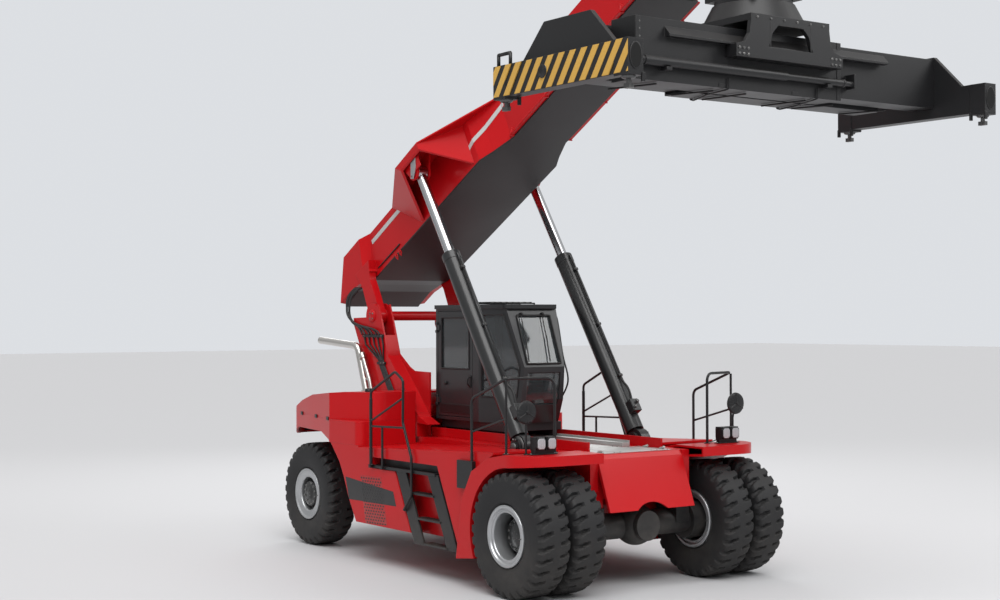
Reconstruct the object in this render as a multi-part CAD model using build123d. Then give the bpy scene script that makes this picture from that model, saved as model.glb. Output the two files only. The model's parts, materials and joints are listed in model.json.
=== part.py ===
"""Reach stacker for containers: wheeled chassis, telescopic boom and telescopic lifting frame.

Millimetres, +X forward, +Y to the driver's left, +Z up. Pieces are drawn with X counted from
the front axle and moved at the end, so that the origin is the middle of the machine's box on
the ground. Boom pieces are drawn along the boom (X), square to it (Z), from the boom pivot.
"""
import os
from math import atan2, cos, degrees, hypot, pi, radians, sin, sqrt

from build123d import *

os.makedirs("parts", exist_ok=True)

# Driving sizes of the running gear
WHEELBASE = 5950.0
TYRE_RADIUS = 807.5
TYRE_WIDTH = 495.0
TYRE_LUGS = 26
LUG_DEPTH = 42.0
RIB_HALF = 60.0
RIB_STEP = 5.0
SHOULDER = 48.0
SHOULDER_RADIUS = 690.0
CARCASS_STEP = 12.0
RIM_RADIUS = 400.0
TWIN_OUTER_Y = 1857.0
TWIN_INNER_Y = 1284.0
REAR_TYRE_Y = 1520.0
KINGPIN_Y = 1240.0
HUB_RADIUS = 210.0
REAR_AXLE_X = -WHEELBASE
AXLE_Z = TYRE_RADIUS

# Driving sizes of the chassis and body
RAIL_INNER_Y = 620.0
RAIL_OUTER_Y = 860.0
RAIL_LOW_Z = 1000.0
RAIL_TOP_Z = 1790.0
NOSE_X = 200.0
NOSE_HALF = 730.0
BODY_HALF = 1930.0
FENDER_HALF = 2050.0
FENDER_TIP_X = 480.0
FENDER_TOP_Z = 1835.0
DECK_Z = 2000.0
SKIRT_Z = 570.0
REAR_X = REAR_AXLE_X - 1130.0
HOOD_FRONT_X = -4010.0
HOOD_FRONT_HALF = 1620.0
HOOD_SEAM_Z = 2060.0
SEAM = 6.0
SHEET = 30.0
HOSES = 5
HOSE_R = 13.0

# Driving sizes of the boom, from its pivot
PIVOT_X = -5350.0
PIVOT_Z = 3630.0
BOOM_ANGLE = 29.0
PIVOT_TUBE_R = 75.0
BOOM_BOTTOM = 635.0
BOOM_TOP = 1370.0
BOOM_WIDE = 700.0
BOOM_NARROW = 484.0
BOOM_TAIL = -470.0
BOOM_HEEL = -960.0
OUTER_LENGTH = 7420.0
PLATE = 22.0
WEAR_GAP = 18.0
INNER_LENGTH = 7600.0
HEAD_X = 8150.0
WING_Y = 1215.0
TOWER_INNER_Y = 660.0
TOWER_OUTER_Y = 900.0

# Driving sizes of the lift cylinders
CYL_Y = 1030.0
CYL_FOOT_X = -1080.0
CYL_FOOT_Z = 1830.0
CYL_TOP_S = 2476.0
CYL_TOP_N = 1090.0
BARREL_R = 134.0
ROD_R = 78.0
BARREL_LENGTH = 3230.0
EYE_R = 110.0
FOOT_EYE_R = 165.0
EYE_WIDTH = 150.0

# Driving sizes of the lifting frame
FRAME_X = 2370.0
LOCK_TIP_Z = 6035.0
LOCK_SPACING_X = 2259.0
LOCK_SPACING_Y = 5853.0
MAIN_LOW_Z = 6280.0
MAIN_TOP_Z = 7000.0
MAIN_BEAM_WIDTH = 420.0
MAIN_BEAM_GAP = 60.0
MAIN_LONG_Y = 2270.0
MAIN_SHORT_Y = 1050.0
ARM_LOW_Z = 6320.0
ARM_TOP_Z = 6960.0
END_BEAM_LENGTH = 2500.0
END_BEAM_WIDTH = 190.0
END_BEAM_LOW_Z = 6190.0
END_BEAM_TOP_Z = 6560.0
CORNER_LOW_Z = 6165.0

# Clearances
RUNNING = 0.05
SEAT = 0.3

# Cab
CAB_REAR_X = -3960.0
CAB_FRONT_X = -1960.0
CAB_HALF = 590.0
CAB_TAPER_X = -2800.0
CAB_FRONT_HALF = 360.0
CAB_FLOOR_Z = 2060.0
CAB_ROOF_Z = 3730.0
CAB_CAP = 60.0
CORNER_GLASS_Y = 325.0
CAB_WALL = 45.0

# Chassis details
DECK_HIGH_X = -4200.0
DECK_LOW_X = -450.0
ARCH_CLEAR_X = REAR_AXLE_X + 1000.0
RAIL_REAR_Z = 1660.0
RAIL_REAR_TOP_Z = 1950.0
TOWER_HEEL_X = -5250.0
TOWER_TOE_X = -4015.0
TOWER_WALL_X = -3990.0
TOWER_EYE_R = 200.0
TOWER_SLOT_Z = 3330.0
TOWER_BOSS = 24.0
CROSS_MEMBERS = ((REAR_AXLE_X - 350, REAR_AXLE_X + 350, 1660, 1790), (-4600, -4480, 900, 1050),
                 (-3500, -3400, 900, 1050), (-1500, -1400, 900, 1750), (90, 150, 1200, 1750))  # x0, x1, z0, z1
FOOT_POCKET = (-1400.0, -760.0)
FOOT_POCKET_Y = 1190.0
FOOT_BASE_Z = 1640.0
DECK_WALL_X = (-3980.0, -120.0)
DECK_WALL_Z = 1930.0
FOOT_PIN_R = 60.0
FOOT_LUG_R = 115.0
FOOT_PLATE = 12.0
LUG_PLATES = ((900.0, 943.0), (1117.0, 1160.0))
FENDER_ARC_R = 865.0
NOSE_LOW_Z = 1050.0
NOSE_ARCH_Z = 1147.0
NOSE_ARCH_R = 400.0
FENDER_CORNER_R = 520.0
RECESS_Y = 1780.0
LADDER_RECESS = ((-3600, 1560), (-1850, 1560), (-1320, 500), (-2500, 500), (-2960, 1400), (-3600, 1400))
BODY_SPLIT_X = -4005.0
BODY_LOW_Z = 1700.0
REAR_HALF = 1430.0
REAR_CORNER_R = 400.0
HOOD_CORNER_R = 240.0
HOOD_PROFILE = ((REAR_X, 1500), (REAR_X, 1900), (REAR_X + 180, 2130), (REAR_X + 630, 2270),
                (REAR_X + 1240, 2385), (-4610, 2475), (HOOD_FRONT_X, 2480), (HOOD_FRONT_X, 1500))
DRUM_Y = 1232.0
SPINDLE_R = 90.0
SHAFT_Z = 820.0
FORK_Y = 1090.0
KNUCKLE_HALF = 130.0
FORK_ARM = 60.0
KINGPIN_R = 45.0
STEER_HUB_Y = 1480.0
EXHAUST_Y = 985.0
EXHAUST_R = 58.0
BREATHER_R = 34.0
RAIL_TUBE_R = 19.0
POST_R = 24.0
LADDER_FOOT_Z = 430.0
LADDER_LEAN = 0.5
STRINGER = 260.0
STRINGER_X = -2930.0
STRINGER_STEP = 840.0
PLATFORM_Z = 1450.0
POSTS_X = (-3575.0, -3250.0)
STEPS_Z = (450.0, 790.0, 1130.0)
DOOR_REAR_X = -3900.0
DOOR_FRONT_X = -2960.0
DOOR_HINGES_Z = (2350.0, 3450.0)
DOOR_KNUCKLE = 80.0
DOOR_KNUCKLE_R = 14.0
DOOR_PIN_R = 7.0
HINGE_X = DOOR_REAR_X - 4
HINGE_Y = -CAB_HALF - DOOR_KNUCKLE_R

# Boom details
NECK_START = 3500.0
NECK_END = 4095.0
CHEEK_Y = 820.0
LUG_INNER_Y = 720.0
LUG_OUTER_Y = 840.0
LUG_EYE_R = 140.0
WING_REAR = ((1074, 700, 1370), (2199, 1215, 1322), (1740, 700, 681))  # corners as s, y, n
WING_FRONT = ((2851, 1215, 1287), (2851, 1215, 1387), (3369, 700, 700))
WING_TIP = (4147.0, 487.0)  # s, y
WING_LUGS = ((913.0, 943.0), (1117.0, 1147.0))
TOP_LUG_R = 125.0
WING_PLATE = 25.0
WING_LOW = 690.0
WING_EDGE = 1250.0
ROD_LENGTH = 3110.0
HEAD_HALF = 250.0
HINGE_Z = 8100.0
HINGE_PIN_R = 60.0
HINGE_DROP = 930.0
RING_R = 480.0
SHIFT_HALF_X = 640.0
CARRIAGE_HALF_Y = 655.0
CARRIAGE_FOOT_Y = 890.0
CARRIAGE_TOP_Z = 7170.0
FOOT_Z0 = 6640.0
FOOT_Z1 = 6790.0
RAIL_REACH_Y = 1830.0
RAIL_RISE = 125.0
BEAM_WALL = 20.0
ARM_SIDE_GAP = 10.0
CYL2_Z = 6490.0
TELE_R = 55.0
TELE_SLEEVE_R = 43.0
TELE_ROD_R = 32.0
UPSTAND_Z = 6990.0
UPSTAND_LOW_X = 875.0
UPSTAND_TOP_X = 430.0
LOCK_R = 27.0
HINGE_S = (FRAME_X - PIVOT_X) * cos(radians(BOOM_ANGLE)) + (HINGE_Z - PIVOT_Z) * sin(radians(BOOM_ANGLE))
HINGE_N = (HINGE_Z - PIVOT_Z) * cos(radians(BOOM_ANGLE)) - (FRAME_X - PIVOT_X) * sin(radians(BOOM_ANGLE))

FRONT_REACH = FRAME_X + END_BEAM_LENGTH / 2
ORIGIN_SHIFT = -(FRONT_REACH + REAR_X) / 2
RIGHT, LEFT = -1, 1
SIDES = {"right": RIGHT, "left": LEFT}


def block(x0, x1, y0, y1, z0, z1):
    """A box between two corners."""
    return Pos((x0 + x1) / 2, (y0 + y1) / 2, (z0 + z1) / 2) * Box(x1 - x0, abs(y1 - y0), z1 - z0)


def side_shape(points, y0, y1, radius=0.0):
    """A plate whose outline is drawn in side view (X, Z), between two Y values."""
    face = make_face(Polyline(*points, close=True))
    if radius:
        face = fillet(face.vertices(), radius)
    low, high = min(y0, y1), max(y0, y1)
    return Pos(0, high, 0) * extrude(Plane.XZ * face, amount=high - low)


def plan_shape(points, z0, z1):
    """A plate whose outline is drawn in plan (X, Y), between two Z values."""
    return Pos(0, 0, z0) * extrude(make_face(Polyline(*points, close=True)), amount=z1 - z0)


def front_shape(points, x0, x1):
    """A plate whose outline is drawn from the front (Y, Z), between two X values."""
    return Pos(x0, 0, 0) * extrude(Plane.YZ * make_face(Polyline(*points, close=True)), amount=x1 - x0)


def mirrored(points):
    """A closed plan outline from its half with Y from 0 up."""
    return points + [(x, -y) for x, y in reversed(points)]


def tube_y(x, z, radius, y0, y1, bore=0.0):
    """A round bar or bush along Y."""
    low, high = min(y0, y1), max(y0, y1)
    bar = Cylinder(radius, high - low)
    if bore:
        bar -= Cylinder(bore, high - low + 2)
    return Pos(x, (low + high) / 2, z) * Rot(90, 0, 0) * bar


def bar_between(start, end, radius):
    """A round bar from one point to another."""
    line = Line(start, end)
    return sweep(Plane(origin=line @ 0, z_dir=line % 0) * Circle(radius), path=line)


def bent_rail(points, bend, radius):
    """A bent handrail of round tube."""
    path = FilletPolyline(*points, radius=bend)
    return sweep(Plane(origin=path @ 0, z_dir=path % 0) * Circle(radius), path=path)


def on_boom(shape):
    """Moves a piece drawn along the boom to its place at rest."""
    return Pos(PIVOT_X, 0, PIVOT_Z) * Rot(0, -BOOM_ANGLE, 0) * shape


def boom_point(s, n):
    """A point given along and square to the boom, as X and Z of the machine."""
    a = radians(BOOM_ANGLE)
    return PIVOT_X + s * cos(a) - n * sin(a), PIVOT_Z + s * sin(a) + n * cos(a)


def solids_of(*shapes):
    """One compound from shapes that don't touch."""
    found = []
    for shape in shapes:
        found += list(shape.solids())
    return Compound(children=found)


nodes = {}


def keep(name, shape):
    """Files a sub-part, moved to the part's own origin."""
    nodes[name] = Pos(ORIGIN_SHIFT, 0, 0) * shape


# Tyres with shoulder lugs
def lug_outline(tip, root):
    """A toothed outline: one flat tooth and one flat groove for each lug, a tooth at the bottom."""
    pitch = 2 * pi / TYRE_LUGS
    points = []
    for i in range(TYRE_LUGS):
        middle = -pi / 2 + i * pitch
        for turn, radius in ((-0.32, tip), (0.32, tip), (0.38, root), (0.62, root)):
            angle = middle + turn * pitch
            points.append((radius * cos(angle), radius * sin(angle)))
    return points


def ring_outline(apothem):
    """A plain outline with as many flats as lugs, a flat at the bottom."""
    radius = apothem / cos(pi / TYRE_LUGS)
    start = -pi / 2 + pi / TYRE_LUGS
    step = 2 * pi / TYRE_LUGS
    return [(radius * cos(start + i * step), radius * sin(start + i * step)) for i in range(TYRE_LUGS)]


def tyre():
    """One tyre about the origin, its axle along Y."""
    half = TYRE_WIDTH / 2
    tip = TYRE_RADIUS / cos(0.32 * 2 * pi / TYRE_LUGS)
    root = TYRE_RADIUS - LUG_DEPTH
    rib = make_face(Polyline(*ring_outline(TYRE_RADIUS - RIB_STEP), close=True))
    lugs = make_face(Polyline(*lug_outline(tip, root), close=True))
    carcass = make_face(Polyline(*ring_outline(root - CARCASS_STEP), close=True))
    wall_edge = make_face(Polyline(*ring_outline(SHOULDER_RADIUS), close=True))
    body = extrude(lugs, amount=half - SHOULDER, both=True) + extrude(rib, amount=RIB_HALF, both=True)
    for side in (1, -1):
        body += loft([Pos(0, 0, side * (half - SHOULDER - 5)) * carcass, Pos(0, 0, side * half) * wall_edge],
                     ruled=True)
    body -= Cylinder(RIM_RADIUS, 2 * TYRE_WIDTH)
    return Rot(90, 0, 0) * body


def rim(depth, dish):
    """A wheel rim about the origin: barrel, flanges and a disc set in from the outer (-Y) side."""
    half = TYRE_WIDTH / 2 - 60.0
    outer = RIM_RADIUS - SEAT
    barrel = Cylinder(outer, 2 * half) - Cylinder(outer - 28, 2 * half + 2)
    for side in (1, -1):
        barrel += Pos(0, 0, side * (half + 22)) * (Cylinder(outer, 44) - Cylinder(outer - 16, 46))
    disc = Cylinder(outer - 27, depth) - Cylinder(HUB_RADIUS - 40, depth + 2)
    disc = Pos(0, 0, half - dish - depth / 2) * disc
    return Rot(90, 0, 0) * (barrel + disc)


TYRE = tyre()
FRONT_RIM = rim(depth=36, dish=250)
REAR_RIM = rim(depth=36, dish=130)
for side_name, side in SIDES.items():
    turn = Rot(0, 0, 0 if side == RIGHT else 180)
    twins = [Pos(0, side * y, AXLE_Z) * turn * TYRE for y in (TWIN_OUTER_Y, TWIN_INNER_Y)]
    keep(f"drive_tyres_{side_name}", solids_of(*twins))
    inner_turn = Rot(0, 0, 180 if side == RIGHT else 0)
    rims = [Pos(0, side * TWIN_OUTER_Y, AXLE_Z) * turn * FRONT_RIM,
            Pos(0, side * TWIN_INNER_Y, AXLE_Z) * inner_turn * FRONT_RIM]
    hub = tube_y(0, AXLE_Z, HUB_RADIUS, side * 1240, side * 1900)
    hub -= tube_y(0, AXLE_Z, SPINDLE_R + RUNNING, side * 1239, side * (TWIN_OUTER_Y - 195))
    cap = tube_y(0, AXLE_Z, 150, side * (TWIN_OUTER_Y - 10), side * (TWIN_OUTER_Y + 60))
    keep(f"drive_rims_{side_name}", rims[0] + rims[1] + hub + cap)
    keep(f"steer_tyre_{side_name}", Pos(REAR_AXLE_X, side * REAR_TYRE_Y, AXLE_Z) * turn * TYRE)
    steer_hub = tube_y(REAR_AXLE_X, AXLE_Z, HUB_RADIUS - 20, side * STEER_HUB_Y, side * 1700)
    steer_hub -= tube_y(REAR_AXLE_X, AXLE_Z, SPINDLE_R + RUNNING, side * (STEER_HUB_Y - 1),
                        side * (REAR_TYRE_Y + 125))
    keep(f"steer_rim_{side_name}", Pos(REAR_AXLE_X, side * REAR_TYRE_Y, AXLE_Z) * turn * REAR_RIM + steer_hub)


def mirror_y(shape):
    """The same piece on the other side of the machine."""
    return mirror(shape, about=Plane.XZ)


def both_sides(shape):
    """A piece and its mirror image, joined."""
    return shape + mirror_y(shape)


def pair(shape):
    """A piece and its mirror image as separate solids."""
    return solids_of(shape, mirror_y(shape))


def deck_z(x):
    """Height of the side deck, which falls from the cab towards the front fenders."""
    fall = (DECK_Z - FENDER_TOP_Z) / (DECK_HIGH_X - DECK_LOW_X)
    return FENDER_TOP_Z - fall * (x - DECK_LOW_X)


# Main frame: two box rails, deck between them, cross members, feet of the lift cylinders
rail_side = [(NOSE_X - 50, RAIL_TOP_Z), (NOSE_X - 50, RAIL_LOW_Z + 80), (-500, RAIL_LOW_Z + 80),
             (-820, RAIL_LOW_Z - 100), (-4600, RAIL_LOW_Z - 100), (ARCH_CLEAR_X, 1250),
             (ARCH_CLEAR_X, RAIL_REAR_Z), (REAR_X + 130, RAIL_REAR_Z), (REAR_X + 130, RAIL_REAR_TOP_Z),
             (TOWER_HEEL_X - 40, RAIL_REAR_TOP_Z), (TOWER_HEEL_X - 40, RAIL_TOP_Z)]
frame = both_sides(side_shape(rail_side, RAIL_INNER_Y, RAIL_OUTER_Y))
frame += block(ARCH_CLEAR_X, NOSE_X - 50, -RAIL_INNER_Y, RAIL_INNER_Y, RAIL_TOP_Z - 40, RAIL_TOP_Z)
for x0, x1, z0, z1 in CROSS_MEMBERS:
    frame += block(x0, x1, -RAIL_INNER_Y, RAIL_INNER_Y, z0, z1)
for side in (1, -1):
    frame += block(FOOT_POCKET[0], FOOT_POCKET[1], side * RAIL_OUTER_Y, side * FOOT_POCKET_Y,
                   FOOT_BASE_Z - 40, FOOT_BASE_Z)
keep("main_frame", frame)
foot = block(CYL_FOOT_X - 260, CYL_FOOT_X + 190, LUG_PLATES[0][0] - 20, LUG_PLATES[1][1] + 20,
             FOOT_BASE_Z + SEAT, FOOT_BASE_Z + FOOT_PLATE)
for y0, y1 in LUG_PLATES:
    foot += side_shape([(CYL_FOOT_X - 250, FOOT_BASE_Z + 5), (CYL_FOOT_X + 180, FOOT_BASE_Z + 5),
                        (CYL_FOOT_X + FOOT_LUG_R, CYL_FOOT_Z), (CYL_FOOT_X - FOOT_LUG_R, CYL_FOOT_Z)], y0, y1)
    foot += tube_y(CYL_FOOT_X, CYL_FOOT_Z, FOOT_LUG_R, y0, y1)
foot += tube_y(CYL_FOOT_X, CYL_FOOT_Z, FOOT_PIN_R, LUG_PLATES[0][0], LUG_PLATES[1][1] + 25)
keep("cylinder_feet", pair(foot))
pocket = block(FOOT_POCKET[0], FOOT_POCKET[1], RAIL_OUTER_Y, FOOT_POCKET_Y, FOOT_BASE_Z - 40, DECK_Z + 300)

# Towers that carry the boom, with the low wall that runs forward behind the cab
tower_side = [(TOWER_HEEL_X, RAIL_TOP_Z), (-5350, 2450), (-5640, 2950), (-5950, 3500), (-5950, 3600),
              (-5500, 3610), (PIVOT_X + 170, PIVOT_Z + 185), (-5090, 3600), (-4880, 3010), (-4300, 2450),
              (TOWER_TOE_X, 2150), (TOWER_TOE_X, RAIL_TOP_Z)]
wall_side = [(-5300, 2300), (-4900, 3040), (-4600, 2840), (-4450, 2775), (TOWER_WALL_X, 2765),
             (TOWER_WALL_X, RAIL_TOP_Z), (-5000, RAIL_TOP_Z)]
tower_outline = make_face(Polyline(*tower_side, close=True))
tower_core = Pos(0, TOWER_OUTER_Y - SHEET, 0) * extrude(Plane.XZ * offset(tower_outline, -SHEET),
                                                        amount=TOWER_OUTER_Y - TOWER_INNER_Y - 2 * SHEET)
tower = side_shape(tower_side, TOWER_INNER_Y, TOWER_OUTER_Y)
tower += tube_y(PIVOT_X, PIVOT_Z, TOWER_EYE_R, TOWER_INNER_Y, TOWER_OUTER_Y)
tower -= tower_core
tower -= block(-6000, -4900, TOWER_INNER_Y + SHEET, TOWER_OUTER_Y - SHEET, TOWER_SLOT_Z, 3900)
tower += side_shape(wall_side, TOWER_INNER_Y, TOWER_INNER_Y + SHEET)
boss = SHEET + TOWER_BOSS
for y0, y1 in ((TOWER_INNER_Y, TOWER_INNER_Y + boss), (TOWER_OUTER_Y - boss, TOWER_OUTER_Y)):
    tower += tube_y(PIVOT_X, PIVOT_Z, PIVOT_TUBE_R + 45, y0, y1)
tower -= tube_y(PIVOT_X, PIVOT_Z, PIVOT_TUBE_R + RUNNING, TOWER_INNER_Y - 1, TOWER_OUTER_Y + 1)
keep("boom_towers", both_sides(tower))
keep("boom_pivot_tube", tube_y(PIVOT_X, PIVOT_Z, PIVOT_TUBE_R, -TOWER_OUTER_Y, TOWER_OUTER_Y))
toe_x = TOWER_TOE_X + SEAT
toe = side_shape([(toe_x, 2150), (-3950, 2090), (-3700, 1995), (-3700, 1981), (toe_x, 1997)],
                 TOWER_INNER_Y + SHEET + SEAT, TOWER_OUTER_Y)
edge = block(*DECK_WALL_X, RAIL_INNER_Y, RAIL_INNER_Y + SHEET, RAIL_TOP_Z, DECK_WALL_Z)
keep("deck_edges", solids_of(toe, edge, mirror_y(toe), mirror_y(edge)))


# Front fenders, hollow towards the frame, and the nose panel between them
def fender_plan(inset):
    """Plan form of a front fender, round at its front outer corner."""
    tip, out = FENDER_TIP_X - inset, FENDER_HALF - inset
    face = make_face(Polyline((-1300, 500), (tip, 500), (tip, out), (-1300, out), close=True))
    corner = face.vertices().sort_by(Axis.X)[-2:].sort_by(Axis.Y)[-1]
    return extrude(fillet([corner], FENDER_CORNER_R - inset), amount=3000)


fender_path = Polyline((-1200, 380), (-1060, 1190), (-830, 1570), (-450, 1770), (-80, FENDER_TOP_Z),
                       (FENDER_TIP_X, FENDER_TOP_Z), (FENDER_TIP_X, FENDER_TOP_Z - 130),
                       (0, AXLE_Z + FENDER_ARC_R))
arc_end = (-sqrt(FENDER_ARC_R ** 2 - (AXLE_Z - 430) ** 2), 430)
diagonal = FENDER_ARC_R / sqrt(2)
fender_arc = ThreePointArc((0, AXLE_Z + FENDER_ARC_R), (-diagonal, AXLE_Z + diagonal), arc_end)
fender_face = make_face([*fender_path.edges(), fender_arc, Line(arc_end, (-1200, 380))])
fender = Pos(0, FENDER_HALF, 0) * extrude(Plane.XZ * fender_face, amount=FENDER_HALF - RAIL_OUTER_Y)
fender_hollow = Pos(0, FENDER_HALF - SHEET, 0) * extrude(Plane.XZ * offset(fender_face, -SHEET),
                                                         amount=FENDER_HALF - RAIL_OUTER_Y)
fender = (fender & fender_plan(0)) - (fender_hollow & fender_plan(SHEET))
fender -= pocket
keep("front_fenders", pair(fender))

nose = side_shape([(NOSE_X - 50, RAIL_TOP_Z), (NOSE_X - 10, 1725), (NOSE_X + 250, NOSE_LOW_Z),
                   (NOSE_X + 210, NOSE_LOW_Z), (NOSE_X - 50, 1680)], -NOSE_HALF, NOSE_HALF)
nose -= Pos(NOSE_X + 100, 0, NOSE_ARCH_Z - NOSE_ARCH_R) * Rot(0, 90, 0) * Cylinder(NOSE_ARCH_R, 600)
nose += both_sides(block(NOSE_X - 50, NOSE_X - 10, NOSE_HALF, RAIL_OUTER_Y, NOSE_LOW_Z + 250, RAIL_TOP_Z))
keep("nose_panel", nose)

# Side bodies between the fenders, hollow, with the pocket for the cylinder foot
side_region = [(REAR_AXLE_X + 1870, SKIRT_Z), (-1270, SKIRT_Z), (-1115, 1200), (-885, 1610), (-500, 1800),
               (-500, deck_z(-500)), (BODY_SPLIT_X, deck_z(BODY_SPLIT_X)), (BODY_SPLIT_X, BODY_LOW_Z - SEAT),
               (REAR_AXLE_X + 1090, BODY_LOW_Z - SEAT), (REAR_AXLE_X + 1360, 1430), (REAR_AXLE_X + 1500, 1210),
               (REAR_AXLE_X + 1650, 900)]
region_face = make_face(Polyline(*side_region, close=True))
body_hollow = Pos(0, BODY_HALF - SHEET, 0) * extrude(Plane.XZ * offset(region_face, -SHEET),
                                                     amount=BODY_HALF - RAIL_OUTER_Y - 2 * SHEET)
recess_face = make_face(Polyline(*LADDER_RECESS, close=True))
recess = side_shape(LADDER_RECESS, RECESS_Y, BODY_HALF + 1)
lining = Pos(0, BODY_HALF, 0) * extrude(Plane.XZ * offset(recess_face, SHEET, kind=Kind.INTERSECTION),
                                        amount=BODY_HALF - RECESS_Y + SHEET)
side_body = side_shape(side_region, RAIL_OUTER_Y, BODY_HALF) - (body_hollow - lining) - recess
side_body -= pocket
keep("side_bodies", pair(side_body))


# Rear body and engine hood: one rounded shell split at the seam
def rear_plan(front_half, corner):
    """Plan outline of the rear body, with the half width and corner radius of its front end."""
    plan = make_face(Polyline(*mirrored([(HOOD_FRONT_X, front_half), (-4900, BODY_HALF), (REAR_X, REAR_HALF)]),
                              close=True))
    plan = fillet(plan.vertices().sort_by(Axis.X)[:2], REAR_CORNER_R)
    return fillet(plan.vertices().sort_by(Axis.X)[-2:], corner)


def rear_form(inset, plan):
    """The outer form of the rear body, or its inner form when inset by the wall."""
    side = make_face(Polyline(*HOOD_PROFILE, close=True))
    if inset:
        plan = offset(plan, -inset)
        side = offset(side, -inset)
    tall = Pos(0, 0, 1000) * extrude(plan, amount=2000)
    return tall & (Pos(0, BODY_HALF, 0) * extrude(Plane.XZ * side, amount=2 * BODY_HALF))


# Exhaust, which passes through the engine hood
exhaust = bent_rail([(-5360, -EXHAUST_Y, 2330), (-5670, -EXHAUST_Y, 3150), (-6870, -EXHAUST_Y - 20, 3230)], 150,
                    EXHAUST_R)
exhaust += Pos(-5385, -EXHAUST_Y, 2420) * Cylinder(90, 60)
breather = bent_rail([(-5200, -EXHAUST_Y, 2330), (-5290, -EXHAUST_Y, 2600), (-5500, -EXHAUST_Y, 2970)], 120,
                     BREATHER_R)
exhaust += breather + Pos(-5520, -EXHAUST_Y, 2990) * Rot(0, -30, 0) * Cylinder(55, 90)
exhaust += bar_between((-5330, -EXHAUST_Y, 2620), (-5480, -EXHAUST_Y, 2640), 14)
exhaust += block(-5490, -5400, -EXHAUST_Y + 30, -TOWER_OUTER_Y - SEAT, 2590, 2640)
exhaust_hole = block(-5500, -5140, -EXHAUST_Y - 95, -EXHAUST_Y + 95, 2000, 2700)
keep("exhaust_pipe", exhaust)

BODY_PLAN = rear_plan(BODY_HALF, 120)
HOOD_PLAN = rear_plan(HOOD_FRONT_HALF, HOOD_CORNER_R)
body_shell = rear_form(0, BODY_PLAN) - rear_form(SHEET, BODY_PLAN)
ledge = BODY_PLAN - offset(HOOD_PLAN, -2 * SHEET)
body_shell += Pos(0, 0, HOOD_SEAM_Z - SEAM - SHEET) * extrude(ledge, amount=SHEET)
hood_shell = rear_form(0, HOOD_PLAN) - rear_form(SHEET, HOOD_PLAN)
arch = side_shape([(BODY_SPLIT_X, 500), (REAR_AXLE_X + 1870, SKIRT_Z), (REAR_AXLE_X + 1650, 900),
                   (REAR_AXLE_X + 1500, 1210), (REAR_AXLE_X + 1360, 1430), (ARCH_CLEAR_X, 1740),
                   (REAR_AXLE_X + 600, 1835), (REAR_AXLE_X - 750, 1825), (REAR_X + 130, BODY_LOW_Z),
                   (REAR_X + 130, 500)], -2100, 2100)
low_part = block(REAR_X - 10, HOOD_FRONT_X + 10, -2000, 2000, BODY_LOW_Z, HOOD_SEAM_Z - SEAM)
high_part = block(REAR_X - 10, HOOD_FRONT_X + 10, -2000, 2000, HOOD_SEAM_Z - SEAM + SEAT, 3000)
slot_out = TOWER_OUTER_Y + 30
between_towers = block(HOOD_FRONT_X - 60, HOOD_FRONT_X + 10, -slot_out, slot_out, 1500, 3000)
tower_slots = both_sides(block(-5400, HOOD_FRONT_X + 10, TOWER_INNER_Y - 20, slot_out, 1500, 3000))
keep("rear_body", (body_shell & low_part) - arch - between_towers - tower_slots)
keep("engine_hood", (hood_shell & high_part) - between_towers - tower_slots - exhaust_hole)
weight_front = REAR_AXLE_X - 430
keep("counterweight", block(REAR_X + 30, weight_front, -550, 550, 750, RAIL_REAR_Z) +
     block(REAR_X + 130, weight_front, -RAIL_INNER_Y, RAIL_INNER_Y, RAIL_REAR_Z, RAIL_REAR_TOP_Z - 60))
keep("engine_block", block(-4750, -3150, -420, 420, 1050, 1700))

# Drive axle with its differential, propeller shaft, steering axle
axle = tube_y(0, AXLE_Z, 175, -1035, 1035) + both_sides(tube_y(0, AXLE_Z, 255, 900, DRUM_Y))
axle += both_sides(tube_y(0, AXLE_Z, SPINDLE_R, DRUM_Y, TWIN_OUTER_Y - 200))
axle += Pos(60, 0, AXLE_Z + 13) * Sphere(285)
axle += Pos(230, 0, AXLE_Z + 13) * Rot(0, 90, 0) * Cylinder(200, 240)
axle += Pos(-240, 0, AXLE_Z + 13) * Rot(0, 90, 0) * Cylinder(110, 120)
axle += both_sides(block(-190, 190, RAIL_INNER_Y + 10, RAIL_OUTER_Y - 10, AXLE_Z, RAIL_LOW_Z + 80))
keep("drive_axle", axle)
keep("propeller_shaft", Pos((-300 - 3150) / 2, 0, SHAFT_Z) * Rot(0, 90, 0) * Cylinder(60, 3150 - 300) +
     block(-3350, -3150, -150, 150, SHAFT_Z - 150, 1050))
steer_axle = block(REAR_AXLE_X - 130, REAR_AXLE_X + 130, -FORK_Y, FORK_Y, AXLE_Z - 160, AXLE_Z + 160)
steer_axle += block(REAR_AXLE_X - 230, REAR_AXLE_X + 230, -300, 300, AXLE_Z - 120, RAIL_REAR_Z)
for side in (1, -1):
    for z0 in (AXLE_Z - KNUCKLE_HALF - FORK_ARM - SEAT, AXLE_Z + KNUCKLE_HALF + SEAT):
        steer_axle += block(REAR_AXLE_X - 110, REAR_AXLE_X + 110, side * (FORK_Y - 60), side * KINGPIN_Y,
                            z0, z0 + FORK_ARM)
        steer_axle += Pos(REAR_AXLE_X, side * KINGPIN_Y, z0 + FORK_ARM / 2) * Cylinder(110, FORK_ARM)
    steer_axle -= Pos(REAR_AXLE_X, side * KINGPIN_Y, AXLE_Z) * Cylinder(KINGPIN_R + RUNNING, 700)
    steer_axle -= Pos(REAR_AXLE_X, side * KINGPIN_Y, AXLE_Z) * Cylinder(160, 2 * KNUCKLE_HALF)
keep("steer_axle", steer_axle)
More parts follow.
